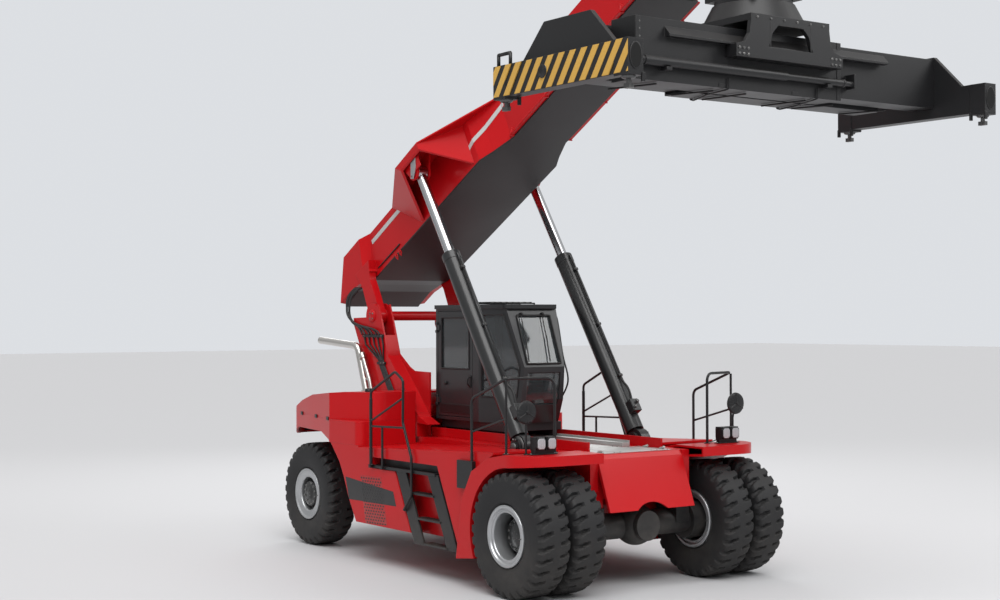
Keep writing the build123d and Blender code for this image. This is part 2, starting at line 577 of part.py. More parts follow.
for side_name, side in SIDES.items():
    pin_length = 2 * (KNUCKLE_HALF + FORK_ARM) + 20
    knuckle = Cylinder(KINGPIN_R, pin_length) + Cylinder(120, 2 * KNUCKLE_HALF)
    knuckle = Pos(REAR_AXLE_X, side * KINGPIN_Y, AXLE_Z) * knuckle
    knuckle += tube_y(REAR_AXLE_X, AXLE_Z, 115, side * KINGPIN_Y, side * (STEER_HUB_Y - 6))
    knuckle += tube_y(REAR_AXLE_X, AXLE_Z, SPINDLE_R, side * KINGPIN_Y, side * (REAR_TYRE_Y + 120))
    keep(f"steer_knuckle_{side_name}", knuckle)

# Ladders with their platforms
ladder_in, ladder_out = RECESS_Y + SEAT, BODY_HALF + 20
ladder = block(-3590, -1880, ladder_in, ladder_out, PLATFORM_Z - 40, PLATFORM_Z)
ladder += block(-3590, -1880, ladder_in, RECESS_Y + 20, PLATFORM_Z - 10, PLATFORM_Z + 95)
for x in POSTS_X:
    ladder += block(x - 30, x + 30, BODY_HALF + 10, BODY_HALF + 65, PLATFORM_Z - 40, PLATFORM_Z)
ladder += block(-2680, -2630, BODY_HALF - 20, ladder_out, 860, 900)
for top_x in (STRINGER_X, STRINGER_X + STRINGER_STEP):
    foot_x = top_x + (PLATFORM_Z - 20 - LADDER_FOOT_Z) * LADDER_LEAN
    ladder += side_shape([(top_x, PLATFORM_Z - 20), (top_x + STRINGER, PLATFORM_Z - 20),
                          (foot_x + STRINGER, LADDER_FOOT_Z), (foot_x, LADDER_FOOT_Z)], BODY_HALF - 25, BODY_HALF + 5)
for z in STEPS_Z:
    x = STRINGER_X + (PLATFORM_Z - 20 - z) * LADDER_LEAN
    ladder += block(x + STRINGER - 30, x + STRINGER_STEP + 20, ladder_in, ladder_out, z - 14, z + 14)
keep("ladders", pair(ladder))

# Handrails, lamps and mirrors
y = BODY_HALF + 20 + RAIL_TUBE_R + SEAT
post_z = PLATFORM_Z + SEAT
rear_rail = bent_rail([(POSTS_X[0], y, post_z), (POSTS_X[0], y, 2520), (-2890, y, 2830), (-2672, y, 2712),
                       (-2680, y, 2110), (-2455, y, 1630), (-2455, y, 1105), (-2655, y, 880)], 85, RAIL_TUBE_R)
rear_rail += bar_between((POSTS_X[0], y, post_z), (POSTS_X[0], y, 2420), POST_R)
for start, end, radius in (((POSTS_X[0], 2015), (-2670, 2040), 15), ((POSTS_X[1], 2025), (POSTS_X[1], post_z), 17),
                           ((POSTS_X[0], 2090), (-2676, 2460), 15)):
    rear_rail += bar_between((start[0], y, start[1]), (end[0], y, end[1]), radius)
y = BODY_HALF + 32
rail_box = side_shape([(-1266, 1690), (-900, 1690), (-900, 1480), (-1000, 1320), (-1266, 1315)],
                      BODY_HALF + SEAT, BODY_HALF + 60)
front_rail = bent_rail([(-945, y, 1680), (-945, y, 2520), (-150, y, 2810), (45, 1330, 2810),
                        (45, 1330, FENDER_TOP_Z)], 110, RAIL_TUBE_R)
front_rail += bar_between((-945, y, 2080), (-150, y, 2290), RAIL_TUBE_R - 4)
front_rail += bar_between((-150, y, FENDER_TOP_Z), (-150, y, 2790), RAIL_TUBE_R - 2)
front_rail += rail_box
keep("handrails", solids_of(rear_rail, front_rail, mirror_y(rear_rail), mirror_y(front_rail)))
lamps = block(110, 180, 1440, 1760, FENDER_TOP_Z, FENDER_TOP_Z + 60)
for y0 in (1440, 1610):
    lamps += block(95, 210, y0, y0 + 150, FENDER_TOP_Z + 60, FENDER_TOP_Z + 230)
keep("work_lamps", pair(lamps))
pole = bent_rail([(60, 1800, FENDER_TOP_Z), (60, 1800, 2180), (80, 1820, 2360)], 60, 14)
disc = Pos(95, 1820, 2380) * Rot(0, 90, 0) * Cylinder(150, 26)
keep("round_mirrors", pair(pole + disc))

# Hoses clipped to the right tower, from their bulkhead under the pivot to the deck
y = -TOWER_OUTER_Y - HOSE_R - 1
# x0, x1, z0, z1 of each clip
HOSE_CLIPS = ((-5620, -4990, 3290, 3340), (-5170, -4930, 2865, 2905), (-4590, -4360, 1965, 2010))
hoses = block(*HOSE_CLIPS[0][:2], -TOWER_OUTER_Y - 28, -TOWER_OUTER_Y - SEAT, *HOSE_CLIPS[0][2:])
for x0, x1, z0, z1 in HOSE_CLIPS[1:]:
    hoses += block(x0, x1, -TOWER_OUTER_Y - 28, -TOWER_OUTER_Y - SEAT, z0, z1)
for i in range(HOSES):
    top_x = -5580 + i * 137
    clip_x = -5130 + i * 34
    foot_x = -4545 + i * 36
    hoses += bent_rail([(top_x, y, 3300), (top_x + 40, y, 3170), (clip_x, y, 2940), (clip_x + 40, y, 2840),
                        (foot_x, y, 2060), (foot_x + 10, y, 1990)], 45, HOSE_R)
keep("tower_hoses", hoses)

# Cab on its rails
rails = both_sides(block(-4000, -600, 330, 450, RAIL_TOP_Z, RAIL_TOP_Z + 60))
rails += both_sides(block(-4000, -600, 450, 465, RAIL_TOP_Z, RAIL_TOP_Z + 90))
keep("cab_rails", rails)
base_front = CAB_FRONT_X - 300
cab_base = block(CAB_REAR_X + 60, base_front, -520, 520, RAIL_TOP_Z + 150, CAB_FLOOR_Z)
cab_base += both_sides(block(CAB_REAR_X + 60, base_front, 370, 445, RAIL_TOP_Z + 60 + SEAT, RAIL_TOP_Z + 150))
keep("cab_base", cab_base)
cab_profile = [(CAB_REAR_X, CAB_FLOOR_Z), (CAB_FRONT_X - 250, CAB_FLOOR_Z), (CAB_FRONT_X - 60, 2400),
               (CAB_FRONT_X, 2880), (CAB_FRONT_X - 330, CAB_ROOF_Z), (CAB_REAR_X, CAB_ROOF_Z)]
cab_plan = mirrored([(CAB_REAR_X, CAB_HALF), (CAB_TAPER_X, CAB_HALF), (CAB_FRONT_X, CAB_FRONT_HALF)])
cap_plan = mirrored([(CAB_REAR_X - 20, CAB_HALF + 15), (CAB_TAPER_X, CAB_HALF + 15),
                     (CAB_FRONT_X - 280, CAB_FRONT_HALF + 100)])


def cab_form(inset):
    """The cab's outer form, or its inner form when inset by the wall."""
    profile = make_face(Polyline(*cab_profile, close=True))
    plan = make_face(Polyline(*cab_plan, close=True))
    if inset:
        profile = offset(profile, -inset)
        plan = offset(plan, -inset)
    tall = Pos(0, 0, CAB_FLOOR_Z - 100) * extrude(plan, amount=2000)
    return tall & (Pos(0, CAB_HALF, 0) * extrude(Plane.XZ * profile, amount=2 * CAB_HALF))


cab = cab_form(0) - cab_form(CAB_WALL)
cap = make_face(Polyline(*cap_plan, close=True))
cap = fillet(cap.vertices().sort_by(Axis.X)[-2:], 130)
cap = Pos(0, 0, CAB_ROOF_Z - 1) * extrude(cap, amount=CAB_CAP + 1)
cab += cap
corner_window = [(-2745, 2440), (-2100, 2440), (-2045, 2880), (-2330, 3640), (-2745, 3640)]
roof_hole = block(-3500, -2760, -380, 380, CAB_ROOF_Z - 100, CAB_ROOF_Z + CAB_CAP + 10)
windows = [block(CAB_FRONT_X - 400, CAB_FRONT_X + 60, -295, 295, 2930, 3640),
           block(CAB_FRONT_X - 250, CAB_FRONT_X + 60, -295, 295, 2330, 2800),
           block(CAB_REAR_X - 10, CAB_REAR_X + 100, -480, 480, 2900, 3600),
           side_shape(corner_window, CORNER_GLASS_Y, CAB_HALF + 10),
           side_shape(corner_window, -CAB_HALF - 10, -CORNER_GLASS_Y),
           block(-3820, -2860, CAB_HALF - 100, CAB_HALF + 10, 2800, 3620),
           roof_hole]
door_hole = block(DOOR_REAR_X, DOOR_FRONT_X, -CAB_HALF - 10, -CAB_HALF + CAB_WALL + 1, 2110, 3700)
for hole in windows:
    cab -= hole
cab -= door_hole
for z in DOOR_HINGES_Z:
    cab += Pos(HINGE_X, HINGE_Y, z) * Cylinder(DOOR_PIN_R, 2 * DOOR_KNUCKLE)
    for end in (1, -1):
        z_part = z + end * (0.75 * DOOR_KNUCKLE + SEAT)
        cab += Pos(HINGE_X, HINGE_Y, z_part) * Cylinder(DOOR_KNUCKLE_R, DOOR_KNUCKLE / 2)
        cab += block(HINGE_X - 60, HINGE_X, HINGE_Y + 2, -CAB_HALF + 1, z_part - DOOR_KNUCKLE / 4,
                     z_part + DOOR_KNUCKLE / 4)
keep("cab_shell", cab)
middle_cut = cab_form(CAB_WALL / 2 - 4) - cab_form(CAB_WALL / 2 + 4)
keep("cab_glass", solids_of(*[middle_cut & hole for hole in windows]))
door = block(DOOR_REAR_X + 8, DOOR_FRONT_X - 8, -CAB_HALF, -CAB_HALF + CAB_WALL - 4, 2118, 3692)
door_window = block(DOOR_REAR_X + 100, DOOR_FRONT_X - 90, -CAB_HALF - 5, -CAB_HALF + CAB_WALL, 2830, 3600)
door -= door_window
for z in DOOR_HINGES_Z:
    door += Pos(HINGE_X, HINGE_Y, z) * Cylinder(DOOR_KNUCKLE_R, DOOR_KNUCKLE)
    door += block(DOOR_REAR_X + 8, HINGE_X + 70, HINGE_Y - DOOR_PIN_R, -CAB_HALF + 1, z - DOOR_KNUCKLE / 2,
                  z + DOOR_KNUCKLE / 2)
    door -= Pos(HINGE_X, HINGE_Y, z) * Cylinder(DOOR_PIN_R + RUNNING, 2 * DOOR_KNUCKLE)
keep("cab_door", door)
keep("door_glass", block(DOOR_REAR_X + 100, DOOR_FRONT_X - 90, -CAB_HALF + 16, -CAB_HALF + 24, 2830, 3600))
seat = block(-3560, -3080, -240, 240, 2500, 2620) + block(-3640, -3520, -240, 240, 2500, 3200)
seat += Pos(-3320, 0, 2300) * Cylinder(140, 400)
seat -= block(-4000, -2000, -600, 600, 1900, CAB_FLOOR_Z + CAB_WALL + SEAT)
column = Pos(-2600, 0, 2440) * Rot(0, -25, 0) * Cylinder(45, 800)
column += Pos(-2700, 0, 2830) * Rot(0, -25, 0) * (Cylinder(200, 30) - Cylinder(165, 40) + Box(370, 40, 24))
column -= block(-4000, -2000, -600, 600, 1900, CAB_FLOOR_Z + CAB_WALL + SEAT)
keep("cab_seat_and_wheel", solids_of(seat, column))


# Outer boom, drawn along the boom
def neck_plan(inset):
    """Plan outline of the outer boom, wide at the pivot and narrow at the front."""
    wide, narrow = BOOM_WIDE - inset, BOOM_NARROW - inset
    return mirrored([(BOOM_TAIL - 600, wide), (NECK_START, wide), (NECK_START + 235, wide - 100),
                     (NECK_END, narrow), (OUTER_LENGTH, narrow)])


belly_line = [(50, BOOM_BOTTOM), (-180, 690), (-500, 745), (BOOM_HEEL, 715)]
tail_side = [(BOOM_TAIL, BOOM_TOP), (OUTER_LENGTH, BOOM_TOP), (OUTER_LENGTH, BOOM_BOTTOM)] + belly_line
boom_box = plan_shape(neck_plan(0), BOOM_BOTTOM, BOOM_TOP) & side_shape(tail_side, -BOOM_WIDE, BOOM_WIDE)
tail_inner = offset(make_face(Polyline(*tail_side, close=True)), -PLATE, kind=Kind.INTERSECTION)
boom_hollow = plan_shape(neck_plan(PLATE), BOOM_BOTTOM, BOOM_TOP) & (
    Pos(0, BOOM_WIDE, 0) * extrude(Plane.XZ * tail_inner, amount=2 * BOOM_WIDE))
boom_hollow += block(OUTER_LENGTH - 30, OUTER_LENGTH + 2, PLATE - BOOM_NARROW, BOOM_NARROW - PLATE,
                     BOOM_BOTTOM + PLATE, BOOM_TOP - PLATE)
outer = boom_box - boom_hollow
belly_top = [(s, n + PLATE) for s, n in belly_line]
belly_side = [(OUTER_LENGTH + 1, BOOM_BOTTOM + PLATE)] + belly_top
belly_side += [(BOOM_HEEL - 90, 500), (OUTER_LENGTH + 1, 500)]
belly_cut = side_shape(belly_side, -BOOM_WIDE - 5, BOOM_WIDE + 5)
belly = outer & belly_cut
outer -= belly_cut
cheek_base = make_face(Polyline((BOOM_TAIL, BOOM_TOP - 1), (-938, 745), (-500, 768), (-180, 713), (0, 675),
                                (300, BOOM_TOP - 1), close=True))
cheek_face = make_face(Polyline((BOOM_TAIL, BOOM_TOP - 1), (-925, 762), (-560, 768), (-190, 713), (-60, 720),
                                (100, BOOM_TOP - 1), close=True))
cheek_base = Plane.XZ.offset(-BOOM_WIDE + 2) * cheek_base
boom_cheek = loft([cheek_base, Plane.XZ.offset(-CHEEK_Y) * cheek_face], ruled=True)
lug_side = [(-160, 30), (-168, 190), (-150, 600), (-190, 760), (180, 760), (120, 600), (130, 460), (136, 30)]
lug = side_shape(lug_side, LUG_INNER_Y, LUG_OUTER_Y) + tube_y(0, 0, LUG_EYE_R, LUG_INNER_Y, LUG_OUTER_Y)
lug -= tube_y(0, 0, PIVOT_TUBE_R + RUNNING, LUG_INNER_Y - 1, LUG_OUTER_Y + 1)
lug += side_shape([(-190, 768), (180, 768), (240, 900), (-240, 900)], BOOM_WIDE - 1, LUG_OUTER_Y)
lug += side_shape([(-190, 720), (180, 720), (180, 770), (-190, 770)], BOOM_WIDE + 1, LUG_OUTER_Y)
keep("boom_outer", on_boom(outer + both_sides(boom_cheek + lug)))
keep("boom_belly_plate", on_boom(belly - both_sides(boom_cheek + lug)))


# Wings that hold the tops of the lift cylinders
def wing_plane(corners, inset):
    """A cutting plane through three corners given as (s, y, n), moved inwards."""
    a, b, c = [Vector(*corner) for corner in corners]
    normal = (b - a).cross(c - a).normalized()
    return Plane(origin=a - normal * inset, z_dir=normal)


def wing_form(inset, low):
    """The wing's outer form between its sloped rear and front plates."""
    form = block(900, 4400, BOOM_WIDE - 230, WING_Y - inset, low, BOOM_TOP - inset)
    for corners in (WING_REAR, WING_FRONT):
        form = split(form, bisect_by=wing_plane(corners, inset), keep=Keep.BOTTOM)
    return form


wing_root = BOOM_WIDE - 230
tip_plan = make_face(Polyline((WING_FRONT[0][0] - 60, WING_Y), (WING_FRONT[0][0], WING_Y), WING_TIP,
                              (WING_TIP[0], wing_root), (WING_FRONT[0][0] - 60, wing_root), close=True))
wing_tip = Pos(0, 0, BOOM_TOP - WING_PLATE) * extrude(Plane.XY * tip_plan, amount=WING_PLATE)
wing_view = front_shape([(wing_root, WING_LOW), (BOOM_WIDE, WING_LOW), (WING_Y, WING_EDGE), (WING_Y, BOOM_TOP),
                         (wing_root, BOOM_TOP)], 800, 4500)
wing = (wing_form(0, WING_LOW) & wing_view) - wing_form(WING_PLATE, WING_LOW - 100) + wing_tip
wing = wing - boom_box - boom_cheek
for y0, y1 in WING_LUGS:
    wing += side_shape([(CYL_TOP_S - 260, BOOM_TOP - PLATE), (CYL_TOP_S + 300, BOOM_TOP - PLATE),
                        (CYL_TOP_S + TOP_LUG_R, CYL_TOP_N), (CYL_TOP_S - TOP_LUG_R, CYL_TOP_N)], y0, y1)
    wing += tube_y(CYL_TOP_S, CYL_TOP_N, TOP_LUG_R, y0, y1)
wing += block(CYL_TOP_S - 40, CYL_TOP_S + 240, WING_LUGS[1][1] - 1, WING_LUGS[1][1] + 16, CYL_TOP_N - 30,
              CYL_TOP_N + 150)
keep("lift_wings", pair(on_boom(wing)))

# Wear pads and inner boom
INNER_HALF = BOOM_NARROW - PLATE - WEAR_GAP
INNER_LOW = BOOM_BOTTOM + PLATE + WEAR_GAP
INNER_HIGH = BOOM_TOP - PLATE - WEAR_GAP
pads = []
for s0, s1 in ((OUTER_LENGTH - 570, OUTER_LENGTH - 370), (OUTER_LENGTH - 220, OUTER_LENGTH - 20)):
    pads.append(block(s0, s1, -350, 350, BOOM_BOTTOM + PLATE, INNER_LOW - SEAT))
    pads.append(block(s0, s1, -350, 350, INNER_HIGH + SEAT, BOOM_TOP - PLATE))
    for side in (1, -1):
        pads.append(block(s0, s1, side * (INNER_HALF + SEAT), side * (BOOM_NARROW - PLATE), 850, 1150))
keep("boom_wear_pads", on_boom(solids_of(*pads)))
inner_start = HEAD_X - INNER_LENGTH
inner = block(inner_start, HEAD_X, -INNER_HALF, INNER_HALF, INNER_LOW, INNER_HIGH)
inner -= block(inner_start - 1, HEAD_X + 1, -INNER_HALF + PLATE, INNER_HALF - PLATE, INNER_LOW + PLATE,
               INNER_HIGH - PLATE)
inner += block(inner_start, inner_start + 200, -350, 350, BOOM_BOTTOM + PLATE + SEAT, INNER_LOW)
inner += block(inner_start, inner_start + 200, -350, 350, INNER_HIGH, BOOM_TOP - PLATE - SEAT)
keep("boom_inner", on_boom(inner))
head_side = [(HEAD_X + 40, INNER_HIGH), (8420, INNER_HIGH), (8760, 1080), (9080, 330), (9070, 100), (8760, 100),
             (8500, 420), (HEAD_X + 40, INNER_LOW)]
head = block(HEAD_X, HEAD_X + 40, -INNER_HALF, INNER_HALF, INNER_LOW, INNER_HIGH)
head += side_shape(head_side, -HEAD_HALF, HEAD_HALF)
head += tube_y(HINGE_S, HINGE_N, 165, -HEAD_HALF, HEAD_HALF)
head -= tube_y(HINGE_S, HINGE_N, HINGE_PIN_R + RUNNING, -HEAD_HALF - 1, HEAD_HALF + 1)
keep("boom_head", on_boom(head))

# Lift cylinders
top_x, top_z = boom_point(CYL_TOP_S, CYL_TOP_N)
lift_turn = degrees(atan2(top_x - CYL_FOOT_X, top_z - CYL_FOOT_Z))
rest_length = hypot(top_x - CYL_FOOT_X, top_z - CYL_FOOT_Z)
half_eye = EYE_WIDTH / 2
barrel = Pos(0, 0, (BARREL_LENGTH + 150) / 2) * Cylinder(BARREL_R, BARREL_LENGTH - 150)
barrel += Pos(0, 0, BARREL_LENGTH - 60) * Cylinder(BARREL_R + 6, 120)
barrel += tube_y(0, 0, FOOT_EYE_R, -half_eye, half_eye)
barrel -= Pos(0, 0, BARREL_LENGTH / 2 + 100) * Cylinder(ROD_R + RUNNING, BARREL_LENGTH - 200 + 2)
barrel -= tube_y(0, 0, FOOT_PIN_R + RUNNING, -half_eye - 1, half_eye + 1)
rod = Pos(0, 0, rest_length - 80 - ROD_LENGTH / 2) * Cylinder(ROD_R, ROD_LENGTH)
rod += tube_y(0, 0, EYE_R, -half_eye, half_eye).moved(Location((0, 0, rest_length)))
for side_name, side in SIDES.items():
    place = Pos(CYL_FOOT_X, side * CYL_Y, CYL_FOOT_Z) * Rot(0, lift_turn, 0)
    keep(f"lift_barrel_{side_name}", place * barrel)
    keep(f"lift_rod_{side_name}", place * rod)

# Yoke, slewing ring and side-shift frame
cheek = side_shape([(-150, -60), (-260, -400), (-420, -400 - 30), (420, -400 - 30), (260, -400), (150, -60)],
                   HEAD_HALF + 10, HEAD_HALF + 70)
cheek += tube_y(0, 0, 160, HEAD_HALF + 10, HEAD_HALF + 70)
yoke = both_sides(cheek)
yoke += block(-420, 420, -420, 420, -HINGE_DROP + 300, -400)
yoke += Pos(0, 0, -HINGE_DROP + 300 - 35 + SEAT / 2) * Cylinder(RING_R, 70 - SEAT)
yoke += tube_y(0, 0, HINGE_PIN_R, -HEAD_HALF - 90, HEAD_HALF + 90)
keep("levelling_yoke", Pos(FRAME_X, 0, HINGE_Z) * yoke)
ring_base = HINGE_Z - HINGE_DROP + 230
carriage = Cone(SHIFT_HALF_X - 10, RING_R + 30, ring_base - CARRIAGE_TOP_Z)
carriage = Pos(FRAME_X, 0, (ring_base + CARRIAGE_TOP_Z) / 2) * carriage
carriage += block(FRAME_X - SHIFT_HALF_X, FRAME_X + SHIFT_HALF_X, -CARRIAGE_HALF_Y, CARRIAGE_HALF_Y,
                  CARRIAGE_TOP_Z - 80, CARRIAGE_TOP_Z)
leg_half = [(CARRIAGE_HALF_Y - 10, CARRIAGE_TOP_Z - 20), (CARRIAGE_HALF_Y + 20, FOOT_Z1 + 140),
            (CARRIAGE_HALF_Y + 90, FOOT_Z1 + 40), (CARRIAGE_FOOT_Y - 30, FOOT_Z1 + 5), (CARRIAGE_FOOT_Y, FOOT_Z1),
            (CARRIAGE_FOOT_Y, FOOT_Z0)]
leg_view = leg_half + [(-y, z) for y, z in reversed(leg_half)]
arch_half = [(210, FOOT_Z1 + 270), (300, FOOT_Z1 + 180), (370, FOOT_Z1)]
opening = Polyline(*arch_half, *[(-y, z) for y, z in reversed(arch_half)], close=True)
for end in (1, -1):
    x_leg = FRAME_X + end * SHIFT_HALF_X
    frame_plate = front_shape(leg_view, min(x_leg, x_leg - end * 60), max(x_leg, x_leg - end * 60))
    frame_plate -= Pos(x_leg - 100, 0, 0) * extrude(Plane.YZ * make_face(opening), amount=200)
    carriage += frame_plate
    foot_edge = x_leg - end * 180
    carriage += block(min(x_leg, foot_edge), max(x_leg, foot_edge), -CARRIAGE_FOOT_Y, CARRIAGE_FOOT_Y,
                      FOOT_Z0, FOOT_Z1)
keep("sideshift_carriage", carriage)

# Main beams of the lifting frame
beam_out = MAIN_BEAM_GAP / 2 + MAIN_BEAM_WIDTH
front_beam = block(MAIN_BEAM_GAP / 2, beam_out, -MAIN_LONG_Y, MAIN_SHORT_Y, MAIN_LOW_Z, MAIN_TOP_Z)
front_beam -= block(MAIN_BEAM_GAP / 2 + BEAM_WALL, beam_out - BEAM_WALL, -MAIN_LONG_Y + BEAM_WALL,
                    MAIN_SHORT_Y + 1, MAIN_LOW_Z + BEAM_WALL, MAIN_TOP_Z - BEAM_WALL)
arm_x0 = MAIN_BEAM_GAP / 2 + BEAM_WALL + ARM_SIDE_GAP
arm_x1 = beam_out - BEAM_WALL - ARM_SIDE_GAP
for y0 in (MAIN_SHORT_Y - 160, MAIN_SHORT_Y - 700):
    front_beam += block(arm_x0 + 40, arm_x1 - 40, y0, y0 + 120, MAIN_LOW_Z + BEAM_WALL, ARM_LOW_Z - SEAT)
    front_beam += block(arm_x0 + 40, arm_x1 - 40, y0, y0 + 120, ARM_TOP_Z + SEAT, MAIN_TOP_Z - BEAM_WALL)
rail_section = Polyline((beam_out, FOOT_Z1 + SEAT), (beam_out + 90, FOOT_Z1 + SEAT),
                        (beam_out + 90, FOOT_Z1 + 30), (beam_out, FOOT_Z1 + RAIL_RISE), close=True)
front_beam += Pos(0, RAIL_REACH_Y, 0) * extrude(Plane.XZ * make_face(rail_section), amount=2 * RAIL_REACH_Y)
for y0, radius in ((700, TELE_SLEEVE_R), (-1900, TELE_R)):
    front_beam += block(beam_out, beam_out + 120, y0, y0 + 80, CYL2_Z - radius - 40, CYL2_Z - radius - SEAT)
telescope = tube_y(beam_out + 70, CYL2_Z, TELE_R, -2200, 30)
telescope += tube_y(beam_out + 70, CYL2_Z, TELE_SLEEVE_R, 0, 1000)
telescope -= tube_y(beam_out + 70, CYL2_Z, TELE_ROD_R + RUNNING, -2180, 1001)
turn = Rot(0, 0, 180)
main_gap = block(-MAIN_BEAM_GAP / 2, MAIN_BEAM_GAP / 2, -MAIN_SHORT_Y, MAIN_SHORT_Y, MAIN_LOW_Z + 100,
                 MAIN_TOP_Z - 100)
keep("spreader_main", Pos(FRAME_X, 0, 0) * (front_beam + turn * front_beam + main_gap))
keep("telescope_barrels", Pos(FRAME_X, 0, 0) * solids_of(telescope, turn * telescope))

# Telescopic arms, end beams and twistlocks; the left one is drawn, the right one is turned half round
arm_outer_y = LOCK_SPACING_Y / 2 - END_BEAM_WIDTH / 2
arm = block(arm_x0, arm_x1, -MAIN_LONG_Y + BEAM_WALL + 20, arm_outer_y, ARM_LOW_Z, ARM_TOP_Z)
arm -= block(arm_x0 + 16, arm_x1 - 16, -MAIN_LONG_Y + BEAM_WALL + 10, arm_outer_y - 20, ARM_LOW_Z + 16,
             ARM_TOP_Z - 16)
arm += block(arm_x1, beam_out + 120, MAIN_SHORT_Y + 120, MAIN_SHORT_Y + 150, CYL2_Z - 60, CYL2_Z + 120)
tele_rod = tube_y(beam_out + 70, CYL2_Z, TELE_ROD_R, -2170, MAIN_SHORT_Y + 120)
half_x = END_BEAM_LENGTH / 2
lock_x = LOCK_SPACING_X / 2
lock_y = LOCK_SPACING_Y / 2
end_beam = block(-half_x, half_x, arm_outer_y, arm_outer_y + END_BEAM_WIDTH, END_BEAM_LOW_Z, END_BEAM_TOP_Z)
upstand = side_shape([(-UPSTAND_LOW_X, END_BEAM_TOP_Z), (UPSTAND_LOW_X, END_BEAM_TOP_Z),
                      (UPSTAND_TOP_X, UPSTAND_Z), (-UPSTAND_TOP_X, UPSTAND_Z)], arm_outer_y, arm_outer_y + 60)
end_beam += upstand
for x in (-lock_x, lock_x):
    end_beam += block(x - 120, x + 120, lock_y - 105, lock_y + 105, CORNER_LOW_Z, END_BEAM_TOP_Z)
    end_beam -= tube_y(x, (END_BEAM_LOW_Z + END_BEAM_TOP_Z) / 2 + 25, 64, lock_y + 60, lock_y + 110)
    end_beam -= block(x - 85, x + 85, lock_y - 65, lock_y + 65, END_BEAM_LOW_Z + 40, END_BEAM_TOP_Z - 80)
    end_beam -= Pos(x, lock_y, END_BEAM_LOW_Z) * Cylinder(LOCK_R + RUNNING, 400)
lock = Cylinder(LOCK_R, 380)
lock = Pos(0, 0, LOCK_TIP_Z + 210) * lock + Pos(0, 0, END_BEAM_LOW_Z + 40 + SEAT + 20) * Cylinder(55, 40)
lock += Pos(0, 0, LOCK_TIP_Z + 25) * Box(104, 54, 50)
for name, spin in (("left", 0), ("right", 180)):
    place = Pos(FRAME_X, 0, 0) * Rot(0, 0, spin)
    keep(f"telescopic_arm_{name}", place * (arm + tele_rod))
    keep(f"end_beam_{name}", place * end_beam)
    for corner, x in (("a", -lock_x), ("b", lock_x)):
        keep(f"twistlock_{name}_{corner}", place * Pos(x, lock_y, 0) * lock)

for name, shape in nodes.items():
    export_step(shape, f"parts/{name}.step")
    print(f"{name}: {len(shape.solids())} solids")
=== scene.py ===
# %% [markdown]
# # Dressing a reach stacker
# A reach stacker lifts freight containers with a telescopic boom. The CAD model already has its
# plates, wheels and cylinders, each on the body that it moves with. This lesson adds what a
# maker's paint shop and fitters add: finishes, tread, hoses, lamps, bolts and wear.
# Everything is in metres, +X forward, +Y to the driver's left, +Z up.

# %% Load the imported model
import json
import math

import bmesh
import bpy
from mathutils import Matrix, Vector


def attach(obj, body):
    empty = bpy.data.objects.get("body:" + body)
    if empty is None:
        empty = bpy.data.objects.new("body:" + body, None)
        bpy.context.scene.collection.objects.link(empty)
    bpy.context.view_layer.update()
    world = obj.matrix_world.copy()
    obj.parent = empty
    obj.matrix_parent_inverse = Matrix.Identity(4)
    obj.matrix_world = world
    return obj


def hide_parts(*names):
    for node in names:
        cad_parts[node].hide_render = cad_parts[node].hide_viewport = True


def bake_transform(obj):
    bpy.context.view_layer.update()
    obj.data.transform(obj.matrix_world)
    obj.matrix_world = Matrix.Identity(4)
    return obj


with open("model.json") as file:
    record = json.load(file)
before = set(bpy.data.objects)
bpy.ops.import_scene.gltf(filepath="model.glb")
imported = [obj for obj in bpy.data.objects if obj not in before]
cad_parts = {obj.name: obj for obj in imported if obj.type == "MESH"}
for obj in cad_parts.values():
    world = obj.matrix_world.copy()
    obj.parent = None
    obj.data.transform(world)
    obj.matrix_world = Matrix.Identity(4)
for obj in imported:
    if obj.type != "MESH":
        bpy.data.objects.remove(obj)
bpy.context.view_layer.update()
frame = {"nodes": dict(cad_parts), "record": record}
scene = bpy.context.scene
scene.view_settings.view_transform = "Standard"
FRONT_AXLE_X = 1.73

# %% [markdown]
# ## Camera
# A camera's place can be solved from straight edges and known sizes in a photograph. Here it
# stands at the front right, a little above the deck, and looks slightly up at the boom's head.

# %% Camera
CAMERA_AT = Vector((18.298, -13.738, 3.575))
CAMERA_YAW, CAMERA_PITCH, CAMERA_ROLL = math.radians(144.94), math.radians(0.69), math.radians(-0.14)
look = Vector((math.cos(CAMERA_PITCH) * math.cos(CAMERA_YAW),
               math.cos(CAMERA_PITCH) * math.sin(CAMERA_YAW), math.sin(CAMERA_PITCH)))
lens = bpy.data.cameras.new("camera")
lens.lens, lens.sensor_width, lens.shift_x = 57.2, 36.0, -0.0031
lens.clip_end = 500
camera = bpy.data.objects.new("camera", lens)
scene.collection.objects.link(camera)
camera.matrix_world = (Matrix.Translation(CAMERA_AT) @ look.to_track_quat("-Z", "Y").to_matrix().to_4x4()
                       @ Matrix.Rotation(CAMERA_ROLL, 4, "Z"))
scene.camera = camera
print("camera at", tuple(round(v, 2) for v in CAMERA_AT))

# %% [markdown]
# ## Shader nodes
# Every finish, and the world round the machine, is a tree of small nodes. A helper that makes a
# node with its settings and links in one line keeps such a tree readable.

# %% A small kit for shader nodes
def new_group(name, inputs, outputs):
    """An empty shader group with float inputs {name: default} and outputs {name: kind}."""
    group = bpy.data.node_groups.new(name, "ShaderNodeTree")
    for socket, default in inputs.items():
        made = group.interface.new_socket(socket, in_out="INPUT", socket_type="NodeSocketFloat")
        made.default_value = default
    for socket, kind in outputs.items():
        group.interface.new_socket(socket, in_out="OUTPUT", socket_type="NodeSocket" + kind)
    return group, group.nodes.new("NodeGroupInput"), group.nodes.new("NodeGroupOutput")


